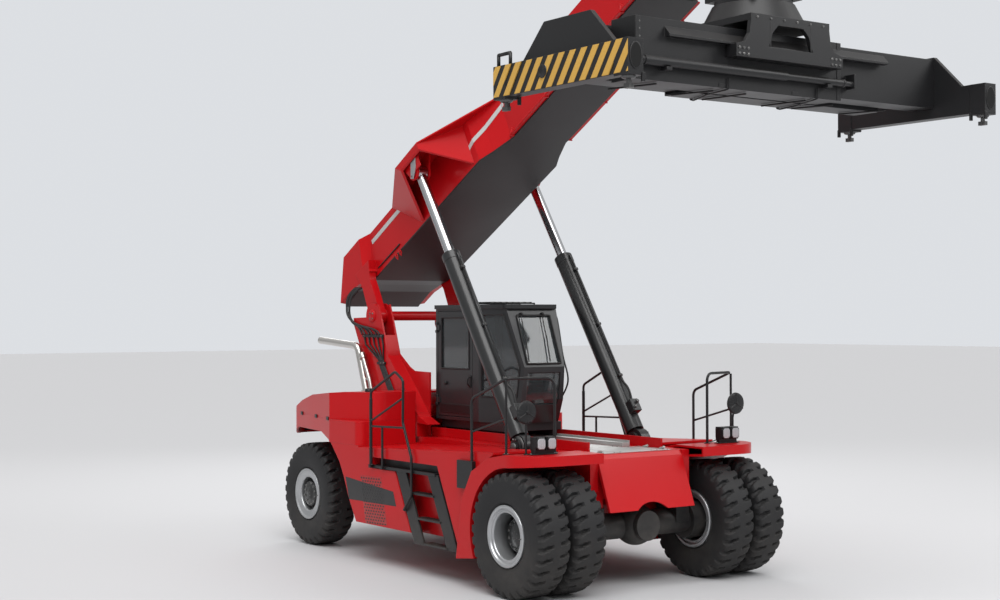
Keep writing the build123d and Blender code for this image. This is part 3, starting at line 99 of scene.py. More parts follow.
def fill(tree, made, **values):
    """Sets a node's inputs, each to a value or a link; i0, i1 and so on are inputs by number."""
    for key, value in values.items():
        numbered = key[0] == "i" and key[1:].isdigit()
        socket = made.inputs[int(key[1:]) if numbered else key.replace("_", " ")]
        if isinstance(value, bpy.types.NodeSocket):
            tree.links.new(value, socket)
        else:
            socket.default_value = value
    return made


def node(tree, kind, settings=None, **values):
    """A new node with its settings and its inputs."""
    made = tree.nodes.new("ShaderNode" + kind)
    for key, value in (settings or {}).items():
        setattr(made, key, value)
    return fill(tree, made, **values)


def math_node(tree, operation, a, b=0.0, clamp=False):
    """One step of arithmetic on masks."""
    return node(tree, "Math", {"operation": operation, "use_clamp": clamp}, i0=a, i1=b).outputs[0]


def surface(name, **values):
    """A material with values for its shader."""
    material = bpy.data.materials.new(name)
    material.use_nodes = True
    fill(material.node_tree, material.node_tree.nodes["Principled BSDF"], **values)
    return material


print("kit ready")

# %% [markdown]
# ## Studio
# A large machine needs large lights: a small lamp would put hard spots on the paint. A wide sun
# lights the floor evenly as far as the horizon, and three soft panels model the machine: one near
# the camera, one that shows in the windscreen, and one behind that draws the edges. The world is
# bright above and dark below, so glossy paint shows which way it faces; the camera sees it plain.

# %% Lights, world and floor
def soft_panel(name, at, aim, width, height, power):
    """A rectangular studio light that faces a point."""
    data = bpy.data.lights.new(name, "AREA")
    data.shape, data.size, data.size_y, data.energy = "RECTANGLE", width, height, power
    panel = bpy.data.objects.new(name, data)
    turn = (Vector(aim) - Vector(at)).to_track_quat("-Z", "Y")
    panel.matrix_world = Matrix.Translation(at) @ turn.to_matrix().to_4x4()
    scene.collection.objects.link(panel)


soft_panel("key_panel", (15, -10, 15), (0, 0, 2.5), 11, 9, 900)
soft_panel("window_panel", (12, 12, 14), (0, 0, 3.3), 9, 7, 800)
soft_panel("back_panel", (-15, 8, 12), (0, 0, 3), 10, 8, 700)
sun = bpy.data.lights.new("wide_sun", "SUN")
sun.energy, sun.angle = 2.3, math.radians(50)
SUN_FROM = Vector((0.35, -0.25, 1))
high_sun = bpy.data.objects.new("wide_sun", sun)
high_sun.matrix_world = SUN_FROM.to_track_quat("Z", "Y").to_matrix().to_4x4()
scene.collection.objects.link(high_sun)

world = bpy.data.worlds.new("pale_world")
scene.world = world
world.use_nodes = True
sky = world.node_tree
up = node(sky, "SeparateXYZ", Vector=node(sky, "TexCoord").outputs["Generated"]).outputs["Z"]
share = node(sky, "Math", {"operation": "MULTIPLY_ADD"}, i0=up, i1=0.5, i2=0.5).outputs[0]
fade = node(sky, "ValToRGB", Fac=share)
stops = fade.color_ramp.elements
for stop, tone in ((stops[0], 0.10), (stops[1], 1.0), (stops.new(0.5), 0.5)):
    stop.color = (tone * 0.96, tone * 0.98, tone, 1)
glow = fill(sky, sky.nodes["Background"], Strength=0.75, Color=fade.outputs["Color"])
plain = node(sky, "Background", Color=(0.72, 0.74, 0.77, 1))
seen = node(sky, "MixShader", Fac=node(sky, "LightPath").outputs["Is Camera Ray"], i1=glow.outputs[0],
            i2=plain.outputs[0])
fill(sky, sky.nodes["World Output"], Surface=seen.outputs[0])

FLOOR_REACH = 150.0
floor_mesh = bpy.data.meshes.new("floor")
floor_corners = [(a * FLOOR_REACH, b * FLOOR_REACH, 0) for a, b in ((-1, -1), (1, -1), (1, 1), (-1, 1))]
floor_mesh.from_pydata(floor_corners, [], [(0, 1, 2, 3)])
floor = bpy.data.objects.new("floor", floor_mesh)
scene.collection.objects.link(floor)
floor_mesh.materials.append(surface("pale_floor", Base_Color=(0.5, 0.5, 0.51, 1), Roughness=0.75))

# %% [markdown]
# ## Shared effects
# Paint on a working machine is never one colour. Three effects return in most finishes, so each
# is a node group with named inputs and outputs: worn edges, dust that settles, and the mottle
# that paint and rubber both show. A group gives only masks and heights; the shader stays in
# each material, where its own roughness and gloss are set.

# %% Worn edges
EDGE_GAIN, PATCH_START, PATCH_GAIN = 9.0, 0.42, 6.0
tree, ins, outs = new_group("worn_edges", {"Width": 0.012, "Grain": 9.0, "Amount": 0.5},
                            {"Mask": "Float", "Normal": "Vector"})
rounded = node(tree, "Bevel", {"samples": 4}, Radius=ins.outputs["Width"])
flat = node(tree, "NewGeometry")
turned = node(tree, "VectorMath", {"operation": "DOT_PRODUCT"}, i0=rounded.outputs["Normal"],
              i1=flat.outputs["Normal"])
lost = math_node(tree, "SUBTRACT", 1.0, turned.outputs["Value"])
place = node(tree, "TexCoord").outputs["Object"]
grain = node(tree, "TexNoise", Vector=place, Scale=ins.outputs["Grain"], Detail=6.0, Roughness=0.65)
patchy = math_node(tree, "SUBTRACT", grain.outputs["Fac"], PATCH_START)
patchy = math_node(tree, "MULTIPLY", patchy, PATCH_GAIN, True)
edge = math_node(tree, "MULTIPLY", math_node(tree, "MULTIPLY", lost, EDGE_GAIN, True), patchy)
worn_mask = math_node(tree, "MULTIPLY", edge, ins.outputs["Amount"], True)
fill(tree, outs, Mask=worn_mask, Normal=rounded.outputs["Normal"])
edge_group = tree
print("group:", tree.name)

# %% Settled dust
SPECK_START, SPECK_GAIN = 0.3, 2.2
tree, ins, outs = new_group("settled_dust", {"Low": 0.0, "High": 1.6, "Amount": 0.5, "Flat Tops": 0.15},
                            {"Mask": "Float"})
place = node(tree, "TexCoord").outputs["Object"]
height = node(tree, "SeparateXYZ", Vector=place).outputs["Z"]
fall = node(tree, "MapRange", {"interpolation_type": "SMOOTHSTEP"}, Value=height, To_Min=1.0, To_Max=0.0,
            From_Min=ins.outputs["Low"], From_Max=ins.outputs["High"])
cloud = node(tree, "TexNoise", Vector=place, Scale=2.3, Detail=8.0, Roughness=0.7)
speck = math_node(tree, "SUBTRACT", cloud.outputs["Fac"], SPECK_START)
speck = math_node(tree, "MULTIPLY", speck, SPECK_GAIN, True)
up = node(tree, "SeparateXYZ", Vector=node(tree, "NewGeometry").outputs["Normal"]).outputs["Z"]
tops = math_node(tree, "MULTIPLY", math_node(tree, "MAXIMUM", up, 0.0), ins.outputs["Flat Tops"])
splash = math_node(tree, "MULTIPLY", fall.outputs["Result"], ins.outputs["Amount"])
dusty = math_node(tree, "MULTIPLY", math_node(tree, "ADD", splash, tops), speck, True)
fill(tree, outs, Mask=dusty)
dust_group = tree
print("group:", tree.name)

# %% Mottle: broad cloudy change of tone and a fine surface grain
tree, ins, outs = new_group("mottle", {"Broad": 0.8, "Fine": 160.0}, {"Tone": "Float", "Grain": "Float"})
place = node(tree, "TexCoord").outputs["Object"]
broad = node(tree, "TexNoise", Vector=place, Scale=ins.outputs["Broad"], Detail=5.0)
fine = node(tree, "TexNoise", Vector=place, Scale=ins.outputs["Fine"], Detail=2.0)
fill(tree, outs, Tone=broad.outputs["Fac"], Grain=fine.outputs["Fac"])
mottle_group = tree
print("group:", tree.name)

# %% [markdown]
# ## Finishes
# Most surfaces here are painted plate, so one recipe takes the paint's colour, the colour under
# a worn edge, the dust and the gloss, and each finish calls it with its own values. The edge
# normal of the bevel gives sharp CAD edges the small radius that paint and plate really have.

# %% The paint recipe
DUST, DUST_ROUGHENS, GRAIN_HEIGHT = (0.33, 0.29, 0.25), 0.4, 0.002


def mix_colour(tree, mask, a, b):
    """Colour a where the mask is 0 and b where it is 1."""
    a, b = ((*colour, 1) if isinstance(colour, tuple) else colour for colour in (a, b))
    return node(tree, "Mix", {"data_type": "RGBA"}, Factor=mask, i6=a, i7=b).outputs[2]


def shade(colour, share):
    """A colour made darker or lighter."""
    return tuple(min(1.0, c * share) for c in colour)


def coated(name, colour, rough=0.35, worn=0.2, wear=0.0, edge=0.01, dust=0.0, dust_high=1.5, tops=0.1,
           metallic=0.0, coat=0.0, bump=0.06, fine=160.0, vary=0.16, specular=0.4):
    """A painted, moulded or bare surface with mottle, worn edges and dust; worn may be one grey tone."""
    worn = worn if isinstance(worn, tuple) else (worn, worn, worn)
    material = surface(name, Metallic=metallic, Coat_Weight=coat, Coat_Roughness=0.12,
                       Specular_IOR_Level=specular)
    tree = material.node_tree
    mottle = node(tree, "Group", {"node_tree": mottle_group}, Fine=fine)
    edges = node(tree, "Group", {"node_tree": edge_group}, Width=edge, Amount=wear)
    dirt = node(tree, "Group", {"node_tree": dust_group}, High=dust_high, Amount=dust, Flat_Tops=tops)
    base = mix_colour(tree, mottle.outputs["Tone"], shade(colour, 1 - vary), shade(colour, 1 + vary))
    base = mix_colour(tree, edges.outputs["Mask"], base, worn)
    base = mix_colour(tree, dirt.outputs["Mask"], base, DUST)
    spread = node(tree, "MapRange", Value=mottle.outputs["Tone"], To_Min=rough * 0.8,
                  To_Max=min(1, rough * 1.25))
    matt = math_node(tree, "MULTIPLY", dirt.outputs["Mask"], DUST_ROUGHENS)
    dulled = math_node(tree, "ADD", spread.outputs["Result"], matt, True)
    relief = node(tree, "Bump", Height=mottle.outputs["Grain"], Normal=edges.outputs["Normal"],
                  Strength=bump, Distance=GRAIN_HEIGHT)
    fill(tree, tree.nodes["Principled BSDF"], Base_Color=base, Roughness=dulled,
         Normal=relief.outputs["Normal"])
    return material


print("recipe ready")

# %% Finishes of the machine
# slot or look: (material name, colour, what differs from the recipe)
LOOKS = {
    "body_red": ("red_paint", (0.50, 0.004, 0.007), dict(
        rough=0.3, worn=(0.32, 0.03, 0.03), wear=0.35, coat=0.08, dust=0.04, tops=0.02,
        specular=0.18, vary=0.1)),
    "chassis_black": ("chassis_black_paint", (0.010, 0.010, 0.011), dict(
        rough=0.45, wear=0.4, worn=0.09, dust=0.3, tops=0.04)),
    "tyre_rubber": ("tyre_rubber", (0.012, 0.012, 0.013), dict(
        rough=0.62, worn=(0.045, 0.044, 0.042), wear=0.5, edge=0.008, dust=0.13, tops=0.03, dust_high=1.2,
        bump=0.35, fine=90, vary=0.2)),
    "rim_grey": ("rim_silver_paint", (0.46, 0.47, 0.48), dict(
        rough=0.3, wear=0.4, worn=(0.25, 0.24, 0.23), dust=0.12, dust_high=1.0, tops=0.03, metallic=0.75)),
    "exhaust_steel": ("polished_exhaust", (0.62, 0.6, 0.57), dict(
        rough=0.28, worn=(0.5, 0.46, 0.42), wear=0.25, metallic=1.0, tops=0.05, bump=0.02, vary=0.06)),
    "trim_black": ("trim_black_paint", (0.009, 0.009, 0.010), dict(
        rough=0.4, wear=0.4, worn=0.08, dust=0.2, tops=0.04)),
    "rail_steel": ("galvanised_plate", (0.55, 0.55, 0.54), dict(
        rough=0.4, wear=0.4, worn=0.3, dust=0.2, metallic=0.6, fine=30, vary=0.3)),
    "cab_grey": ("cab_dark_grey", (0.020, 0.021, 0.023), dict(
        rough=0.36, worn=0.09, wear=0.25, coat=0.15, dust=0.1, tops=0.04)),
    "seat_black": ("seat_cloth", (0.02, 0.02, 0.022), dict(rough=0.85, wear=0.4, bump=0.5, fine=300)),
    "frame_grey": ("lifting_frame_charcoal", (0.011, 0.011, 0.012), dict(
        rough=0.42, worn=(0.10, 0.095, 0.09), wear=0.4, tops=0.06)),
    "wear_pad": ("wear_pad_plastic", (0.5, 0.45, 0.3), dict(rough=0.6, wear=0.4)),
    "cylinder_grey": ("cylinder_dark_grey", (0.017, 0.018, 0.019), dict(
        rough=0.3, worn=0.10, wear=0.3, coat=0.2, dust=0.1, tops=0.04)),
    "rod_chrome": ("rod_chrome", (0.55, 0.56, 0.58), dict(
        rough=0.2, metallic=1.0, bump=0.0, tops=0.0, vary=0.05)),
    "lock_steel": ("forged_lock_steel", (0.12, 0.12, 0.12), dict(
        rough=0.45, worn=(0.5, 0.49, 0.47), wear=0.7, metallic=0.8)),
    "lens_white": ("lens_white", (0.42, 0.43, 0.45), dict(
        rough=0.12, dust=0.1, bump=0.4, fine=60, vary=0.04)),
    "hazard_yellow": ("hazard_yellow_foil", (0.62, 0.36, 0.07), dict(rough=0.5, dust=0.1, vary=0.12)),
    "foil_silver": ("silver_foil", (0.62, 0.62, 0.61), dict(rough=0.4, metallic=0.3)),
    "band_black": ("band_black_foil", (0.02, 0.02, 0.022), dict(rough=0.42, dust=0.2)),
    "vent_red": ("vent_red_plate", (0.40, 0.012, 0.014), dict(rough=0.4, dust=0.3)),
    "lamp_red": ("tail_lamp_red", (0.5, 0.01, 0.01), dict(rough=0.15, coat=0.5)),
    "lamp_amber": ("turn_lamp_amber", (0.75, 0.25, 0.01), dict(rough=0.15, coat=0.5)),
    "mirror_glass": ("mirror_silver", (0.85, 0.86, 0.87), dict(
        rough=0.04, metallic=1.0, bump=0.0, tops=0.0, vary=0.01)),
    # socket_dark is painted shadow, laid in the openings of the lock sockets
    "socket_dark": ("socket_shadow", (0.004, 0.004, 0.004), dict(rough=0.9, tops=0.0)),
    "hose_rubber": ("hose_rubber", (0.016, 0.016, 0.017), dict(rough=0.5, dust=0.1, bump=0.25, fine=220)),
}
finish = {look: coated(name, colour, **settings) for look, (name, colour, settings) in LOOKS.items()}
finish["cab_glass"] = surface("tinted_glass", Base_Color=(0.16, 0.18, 0.19, 1), Roughness=0.04,
                              Transmission_Weight=0.8, IOR=1.45, Coat_Weight=0.5)
for row in frame["record"]["subparts"]:
    shown = frame["nodes"][row["node"]]
    shown.data.materials.clear()
    shown.data.materials.append(finish[row["material_slot"]])
print("finishes:", len(finish))

# %% [markdown]
# ## A fitter's kit
# Bolts, brackets, seals and hoses are small copies of a few forms: a block with rounded edges,
# a rod, a turned profile, a cut plate and a bent tube. A helper that gathers such forms in one
# bmesh keeps each piece a single object, however many bolts it has.

UP, RIGHT, SIDES = (0, 0, 1), (0, -1, 0), (("right", -1), ("left", 1))
BLACK, STEEL, GREY, RUBBER, RED = "trim_black", "lock_steel", "frame_grey", "hose_rubber", "body_red"
DARK, PIPE = "chassis_black", "cylinder_grey"
WASHER_WIDE, WASHER_HIGH, HEAD_HIGH = 1.15, 0.18, 0.85  # shares of a bolt's size
FRAME_AHEAD = 2.37  # the lifting frame's middle, forward of the front axle
FROM_AXLE = Matrix.Translation((FRONT_AXLE_X, 0, 0))
FROM_FRAME = Matrix.Translation((FRONT_AXLE_X + FRAME_AHEAD, 0, 0))


def linked(name, mesh, finishes):
    """An object in the scene with the named finishes, in the order that its faces count them."""
    piece = bpy.data.objects.new(name, mesh)
    scene.collection.objects.link(piece)
    for look in finishes:
        mesh.materials.append(finish[look])
    print(name, "has", len(mesh.polygons), "faces")
    return piece


def object_from(name, mesh, body, finishes, smooth_angle=None):
    """Files a mesh as a piece on a body, with its finishes."""
    piece = linked(name, mesh, finishes)
    if smooth_angle is not None:
        mesh.shade_smooth()
        with bpy.context.temp_override(object=piece, active_object=piece, selected_objects=[piece],
                                       selected_editable_objects=[piece]):
            bpy.ops.object.shade_smooth_by_angle(angle=math.radians(smooth_angle))
    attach(piece, body)
    return piece


def circle(count, wide, tall=None):
    """Points round a circle about 0, or round an ellipse."""
    angles = [2 * math.pi * i / count for i in range(count)]
    return [(wide * math.cos(a), (wide if tall is None else tall) * math.sin(a)) for a in angles]


class Fitting:
    """Forms gathered into one piece, each with its own finish."""

    AXES = {"x": (2, 0, 1), "y": (0, 2, 1), "z": (0, 1, 2)}  # a plate's outline and depth as x, y, z

    def __init__(self):
        self.form = bmesh.new()
        self.finishes = []

    def add(self, verts, faces, material, rounding=0.0, smooth=False):
        """Adds one closed form, its sharp edges rounded by a radius."""
        if material not in self.finishes:
            self.finishes.append(material)
        made = bmesh.new()
        corners = [made.verts.new(v) for v in verts]
        for face in faces:
            made.faces.new([corners[i] for i in face])
        bmesh.ops.recalc_face_normals(made, faces=made.faces)
        if rounding:
            sharp = [e for e in made.edges if len(e.link_faces) == 2 and e.calc_face_angle(0) > 0.5]
            bmesh.ops.bevel(made, geom=sharp, offset=rounding, segments=2, affect="EDGES", profile=0.5)
        for face in made.faces:
            face.material_index = self.finishes.index(material)
            face.smooth = smooth
        return self.merged(made)

    def merged(self, made):
        """Takes a finished form in."""
        held = bpy.data.meshes.new("held")
        made.to_mesh(held)
        made.free()
        self.form.from_mesh(held)
        bpy.data.meshes.remove(held)
        return self

    def block(self, low, high, material, rounding=0.004):
        """A block between two corners."""
        (x0, y0, z0), (x1, y1, z1) = low, high
        verts = [(x, y, z) for x in (x0, x1) for y in (y0, y1) for z in (z0, z1)]
        faces = [(0, 1, 3, 2), (4, 6, 7, 5), (0, 4, 5, 1), (2, 3, 7, 6), (0, 2, 6, 4), (1, 5, 7, 3)]
        return self.add(verts, faces, material, rounding)

    def rod(self, start, end, radius, material, sides=16, rounding=0.0):
        """A round bar from one point to another."""
        start, end = Vector(start), Vector(end)
        turn = (end - start).to_track_quat("Z", "Y")
        ring = [turn @ Vector((x, y, 0)) for x, y in circle(sides, radius)]
        verts = [centre + spoke for centre in (start, end) for spoke in ring]
        faces = [(i, (i + 1) % sides, sides + (i + 1) % sides, sides + i) for i in range(sides)]
        faces += [tuple(range(sides))[::-1], tuple(range(sides, 2 * sides))]
        return self.add(verts, faces, material, rounding, smooth=sides > 8)

    def turned(self, profile, centre, axis, material, steps=64, closed=False):
        """A profile of (radius, along) turned about an axis."""
        turn = Vector(axis).to_track_quat("Z", "Y")
        centre = Vector(centre)
        verts = [centre + turn @ Vector((r * x, r * y, w)) for x, y in circle(steps, 1.0) for r, w in profile]
        count = len(profile)
        spans = count if closed else count - 1
        faces = [(i * count + j, i * count + (j + 1) % count,
                  ((i + 1) % steps) * count + (j + 1) % count, ((i + 1) % steps) * count + j)
                 for i in range(steps) for j in range(spans)]
        return self.add(verts, faces, material, smooth=True)

    def plate(self, outline, across, low, high, material, rounding=0.003):
        """A plate cut to an outline: across names the axis that it is thick along."""
        count = len(outline)
        verts = [[(a, b, depth)[i] for i in self.AXES[across]] for depth in (low, high) for a, b in outline]
        faces = [tuple(range(count)), tuple(range(2 * count - 1, count - 1, -1))]
        faces += [(i, (i + 1) % count, count + (i + 1) % count, count + i) for i in range(count)]
        return self.add(verts, faces, material, rounding)

    def bolt(self, at, normal, size):
        """A hexagon head on its washer."""
        at, normal = Vector(at), Vector(normal).normalized()
        seat, top = at + normal * size * WASHER_HIGH, at + normal * size * HEAD_HIGH
        self.rod(at, seat, size * WASHER_WIDE, STEEL, 20)
        return self.rod(seat, top, size, STEEL, 6, size * 0.1)

    def hose(self, points, radius, material, sides=10, order=3):
        """A round hose or pipe along a smooth line through space."""
        line = bpy.data.curves.new("line", "CURVE")
        line.dimensions = "3D"
        spline = line.splines.new("NURBS")
        spline.points.add(len(points) - 1)
        for point, at in zip(spline.points, points):
            point.co = (*at, 1)
        spline.order_u, spline.use_endpoint_u = order, True
        line.resolution_u, line.bevel_depth, line.bevel_resolution = 8, radius, max(1, sides // 4)
        line.use_fill_caps = True
        holder = bpy.data.objects.new("line", line)
        tube = bpy.data.meshes.new_from_object(holder)
        verts = [tuple(v.co) for v in tube.vertices]
        faces = [tuple(p.vertices) for p in tube.polygons]
        bpy.data.objects.remove(holder)
        bpy.data.curves.remove(line)
        bpy.data.meshes.remove(tube)
        return self.add(verts, faces, material, smooth=True)

    def bolts(self, points, normal, size):
        """The same bolt at several points."""
        for at in points:
            self.bolt(at, normal, size)
        return self

    def bolt_ring(self, centre, axis, radius, count, size):
        """Bolts spaced round a circle."""
        turn = Vector(axis).to_track_quat("Z", "Y")
        spots = [2 * math.pi * (i + 0.5) / count for i in range(count)]
        return self.bolts([Vector(centre) + turn @ Vector((radius * math.cos(a), radius * math.sin(a), 0))
                           for a in spots], axis, size)

    def strip(self, points, rise, depth, material):
        """A thin strip along a line of points, with its width and its thickness given as vectors."""
        rise, depth = Vector(rise) / 2, Vector(depth)
        rows = [[p - rise, p + rise, p + rise + depth, p - rise + depth] for p in map(Vector, points)]
        verts = [v for row in rows for v in row]
        faces = [(4 * i + j, 4 * i + (j + 1) % 4, 4 * i + 4 + (j + 1) % 4, 4 * i + 4 + j)
                 for i in range(len(points) - 1) for j in range(4)]
        last = 4 * (len(points) - 1)
        return self.add(verts, faces + [(0, 1, 2, 3), (last + 3, last + 2, last + 1, last)], material)

    def cap(self, at, axis, radius, flat, tall, material, steps):
        """A round cap with a flat top and a rounded rim."""
        rim = [(0.0, tall), (flat, tall), (radius - 0.002, tall - 0.008), (radius, 0.0)]
        return self.turned(rim, at, axis, material, steps)

    def copied(self, flips):
        """Adds a copy flipped along some axes: one flip is a mirror image, two are a half turn."""
        copy = self.form.copy()
        bmesh.ops.scale(copy, vec=flips, verts=copy.verts)
        if flips[0] * flips[1] * flips[2] < 0:
            bmesh.ops.reverse_faces(copy, faces=copy.faces)
        return self.merged(copy)

    def mirrored(self):
        """Adds the mirror image across the machine's middle."""
        return self.copied((1, -1, 1))

    def half_turned(self):
        """Adds the same forms after half a turn about Z."""
        return self.copied((-1, -1, 1))

    def as_mesh(self, name, place):
        """Ends the gathering: one mesh, moved from its own axes to its place."""
        mesh = bpy.data.meshes.new(name)
        self.form.transform(place)
        self.form.to_mesh(mesh)
        self.form.free()
        return mesh

    def done(self, name, body, slot, place=FROM_AXLE):
        """Files the piece on its body."""
        return object_from(name, self.as_mesh(name, place), body, self.finishes)

    def crossing(self, name):
        """Files a soft piece over a joint; it stays where it is drawn, on no body."""
        piece = linked(name, self.as_mesh(name, FROM_AXLE), self.finishes)
        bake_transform(piece)
        return piece


PIVOT_X, PIVOT_Z, BOOM_ANGLE = -5.35, 3.63, 29
BOOM_PIVOT = Vector((FRONT_AXLE_X + PIVOT_X, 0, PIVOT_Z))
ALONG_BOOM = Matrix.Translation(BOOM_PIVOT) @ Matrix.Rotation(math.radians(-BOOM_ANGLE), 4, "Y")
print("kit ready; the boom starts at", tuple(round(v, 2) for v in BOOM_PIVOT))

# %% [markdown]
# ## Tyres
# A port tyre has a deep block tread: short slanting grooves cut in from both shoulders, and a
# plain rib between them round the middle. The carcass could be a turned profile with a picture
# of the tread, but at this size the grooves have to be real. So the profile is turned in many
# steps, and the steps that lie in a groove are pulled inward.

# %% Tyres
TYRE_OUTER, TYRE_BEAD = 0.8075, 0.40
TREAD_LUGS, STEPS_A_LUG, GROOVE_DEPTH = 30, 14, 0.045
# Widths and slants round the tyre are in shares of a lug.
GROOVE_HALF, GROOVE_FLARE, LUG_SLANT, MIDDLE_SLANT, MIDDLE_HALF = 0.15, 0.09, 3.0, 2.2, 0.13
TYRE_PROFILE = [  # radius, distance from the tyre's middle
    (TYRE_BEAD, 0.195), (0.415, 0.218), (0.43, 0.226), (0.436, 0.231), (0.445, 0.231), (0.47, 0.236),
    (0.52, 0.244), (0.58, 0.2475), (0.64, 0.2475), (0.685, 0.244), (0.70, 0.2415), (0.735, 0.236),
    (0.765, 0.226), (0.788, 0.212), (0.800, 0.193), (0.8045, 0.165), (0.806, 0.13), (0.8068, 0.10),
    (0.807, 0.082), (0.8073, 0.066), (0.8075, 0.05), (TYRE_OUTER, 0.0)]


def ramp(value, start, end):
    """0 before start, 1 after end, and a straight rise between."""
    return max(0.0, min(1.0, (value - start) / (end - start)))


def tyre_mesh(name):
    """A tyre about its axle (Y): a turned profile with grooves pulled in between its lugs."""
    half = TYRE_PROFILE + [(r, -w) for r, w in reversed(TYRE_PROFILE[:-1])]
    steps, count = TREAD_LUGS * STEPS_A_LUG, len(half)
    verts = []
    for i in range(steps):
        for r, w in half:
            slant = w * LUG_SLANT + math.copysign(max(0.0, MIDDLE_HALF - abs(w)) * MIDDLE_SLANT, w)
            turn = (i / STEPS_A_LUG - slant + (0.5 if w < 0 else 0)) % 1.0
            half_width = GROOVE_HALF + GROOVE_FLARE * ramp(abs(w), 0.10, 0.23)
            groove = ramp(half_width - abs(turn - 0.5), 0.0, 0.05)
            radius = r - GROOVE_DEPTH * groove * ramp(abs(w), 0.05, 0.075) * ramp(r, 0.70, 0.76)
            angle = 2 * math.pi * i / steps
            verts.append((radius * math.cos(angle), w, radius * math.sin(angle)))
    rings = [(i * count + j, ((i + 1) % steps) * count + j) for i in range(steps) for j in range(count - 1)]
    mesh = bpy.data.meshes.new(name)
    mesh.from_pydata(verts, [], [(a, a + 1, b + 1, b) for a, b in rings])
    mesh.update()
    return mesh


# place, x from the front axle, distance from the middle, side of the face, body, CAD node of the tyre
PLACES = (("drive_outer", 0, 1.857, 1, "drive_wheels", "drive_tyres"),
          ("drive_inner", 0, 1.284, -1, "drive_wheels", "drive_tyres"),
          ("steer", -5.95, 1.52, 1, "steer_wheel", "steer_tyre"))
WHEELS = [(f"{place}_{side}", FRONT_AXLE_X + x, sign * y, sign * outer, f"{body}_{side}", f"{cad}_{side}")
          for side, sign in SIDES for place, x, y, outer, body, cad in PLACES]
for name, x, y, outer, body, cad in WHEELS:
    mesh = tyre_mesh(f"tread_{name}")
    mesh.transform(Matrix.Translation((x, y, TYRE_OUTER)))
    tyre = object_from(f"tread_{name}", mesh, body, ["tyre_rubber"], 32)
    if "inner" not in name:
        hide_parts(cad)

# %% [markdown]
# ## Rims
# The front rims are deep barrels with a bright lock ring; the hub sits far inside. The rear rims
# carry a flat ring round a black hub. Each is one turned profile set over the plain CAD rim, with
# its wheel nuts. An extruded disc would lose the rounded lips that catch the light.

# %% Rims
FRONT_LIP = [(0.399, 0.200), (0.4, 0.228), (0.394, 0.238), (0.380, 0.241), (0.362, 0.240), (0.352, 0.234),
             (0.349, 0.222), (0.343, 0.212), (0.332, 0.210), (0.322, 0.216), (0.310, 0.217), (0.302, 0.210),
             (0.297, 0.19), (0.292, 0.10), (0.284, -0.055), (0.290, -0.056), (0.36, 0.10), (0.37, 0.19)]
FRONT_HUB = [(0.0, 0.082), (0.085, 0.081), (0.096, 0.074), (0.142, 0.067), (0.151, 0.058), (0.155, 0.048),
             (0.204, 0.047), (0.213, 0.038), (0.216, -0.045), (0.288, -0.054), (0.288, -0.062), (0.0, -0.062)]
REAR_LIP = [(0.399, 0.200), (0.4, 0.228), (0.394, 0.238), (0.378, 0.240), (0.368, 0.233), (0.364, 0.222),
            (0.352, 0.218), (0.285, 0.212), (0.268, 0.206), (0.260, 0.192), (0.256, 0.065), (0.30, 0.065),
            (0.37, 0.18)]
REAR_HUB = [(0.0, 0.212), (0.07, 0.211), (0.082, 0.204), (0.088, 0.192), (0.150, 0.189), (0.190, 0.185),
            (0.198, 0.176), (0.201, 0.10), (0.246, 0.066), (0.250, 0.058), (0.0, 0.058)]
# lip, hub, radius of the nuts' circle, how far out the nuts sit
FRONT_FACE, REAR_FACE = (FRONT_LIP, FRONT_HUB, 0.180, 0.047), (REAR_LIP, REAR_HUB, 0.168, 0.187)
for name, x, y, outer, body, cad in WHEELS:
    lip, hub, nuts, nut_at = REAR_FACE if "steer" in name else FRONT_FACE
    centre, out = Vector((x, y, TYRE_OUTER)), Vector((0, outer, 0))
    face = Fitting()
    face.turned(lip, centre, out, "rim_grey", 72, closed=True)
    face.turned(hub, centre, out, PIPE, 48)
    face.bolt_ring(centre + out * nut_at, out, nuts, 12, 0.015)
    face.bolt_ring(centre + out * (hub[1][1] - 0.004), out, 0.055, 6, 0.008)
    face.rod(centre + out * 0.20 + Vector((0.33, 0, 0)), centre + out * 0.248 + Vector((0.325, 0, 0)), 0.007,
             STEEL, 8)
    face.done(f"rim_face_{name}", body, "rim_grey", Matrix.Identity(4))

# %% [markdown]
# ## Marks and panels
# Three marks tell what the machine is: the hazard stripes on the ends of the lifting frame, the
# silver stripes on the boom and the black band along the side. Paint could do it, but a thin
# film laid on the plate keeps a crisp edge at any distance, as the real foil does.

# %% Hazard stripes
LOCK_X, LOCK_Y, SOCKET_Z = 1.1295, 2.9265, 6.375
END_FACE_Y, CORNER_FACE_Y, CORNER_START = 3.0215, 3.0315, 1.0
STRIPES, STRIPE_PITCH, STRIPE_WIDE, STRIPE_LEAN = 14, 0.205, 0.112, 0.25
STRIPE_LOW, STRIPE_HIGH, STRIPE_START, STRIPE_END = 6.195, 6.555, -1.248, 1.248


def kept_part(outline, at, side):
    """The part of an outline below a limit (side 1) or above it (side -1)."""
    kept = []
    for (xa, za), (xb, zb) in zip(outline, outline[1:] + outline[:1]):
        if side * (xa - at) <= 0:
            kept.append((xa, za))
        if (xa - at) * (xb - at) < 0:
            kept.append((at, za + (at - xa) / (xb - xa) * (zb - za)))
    return kept


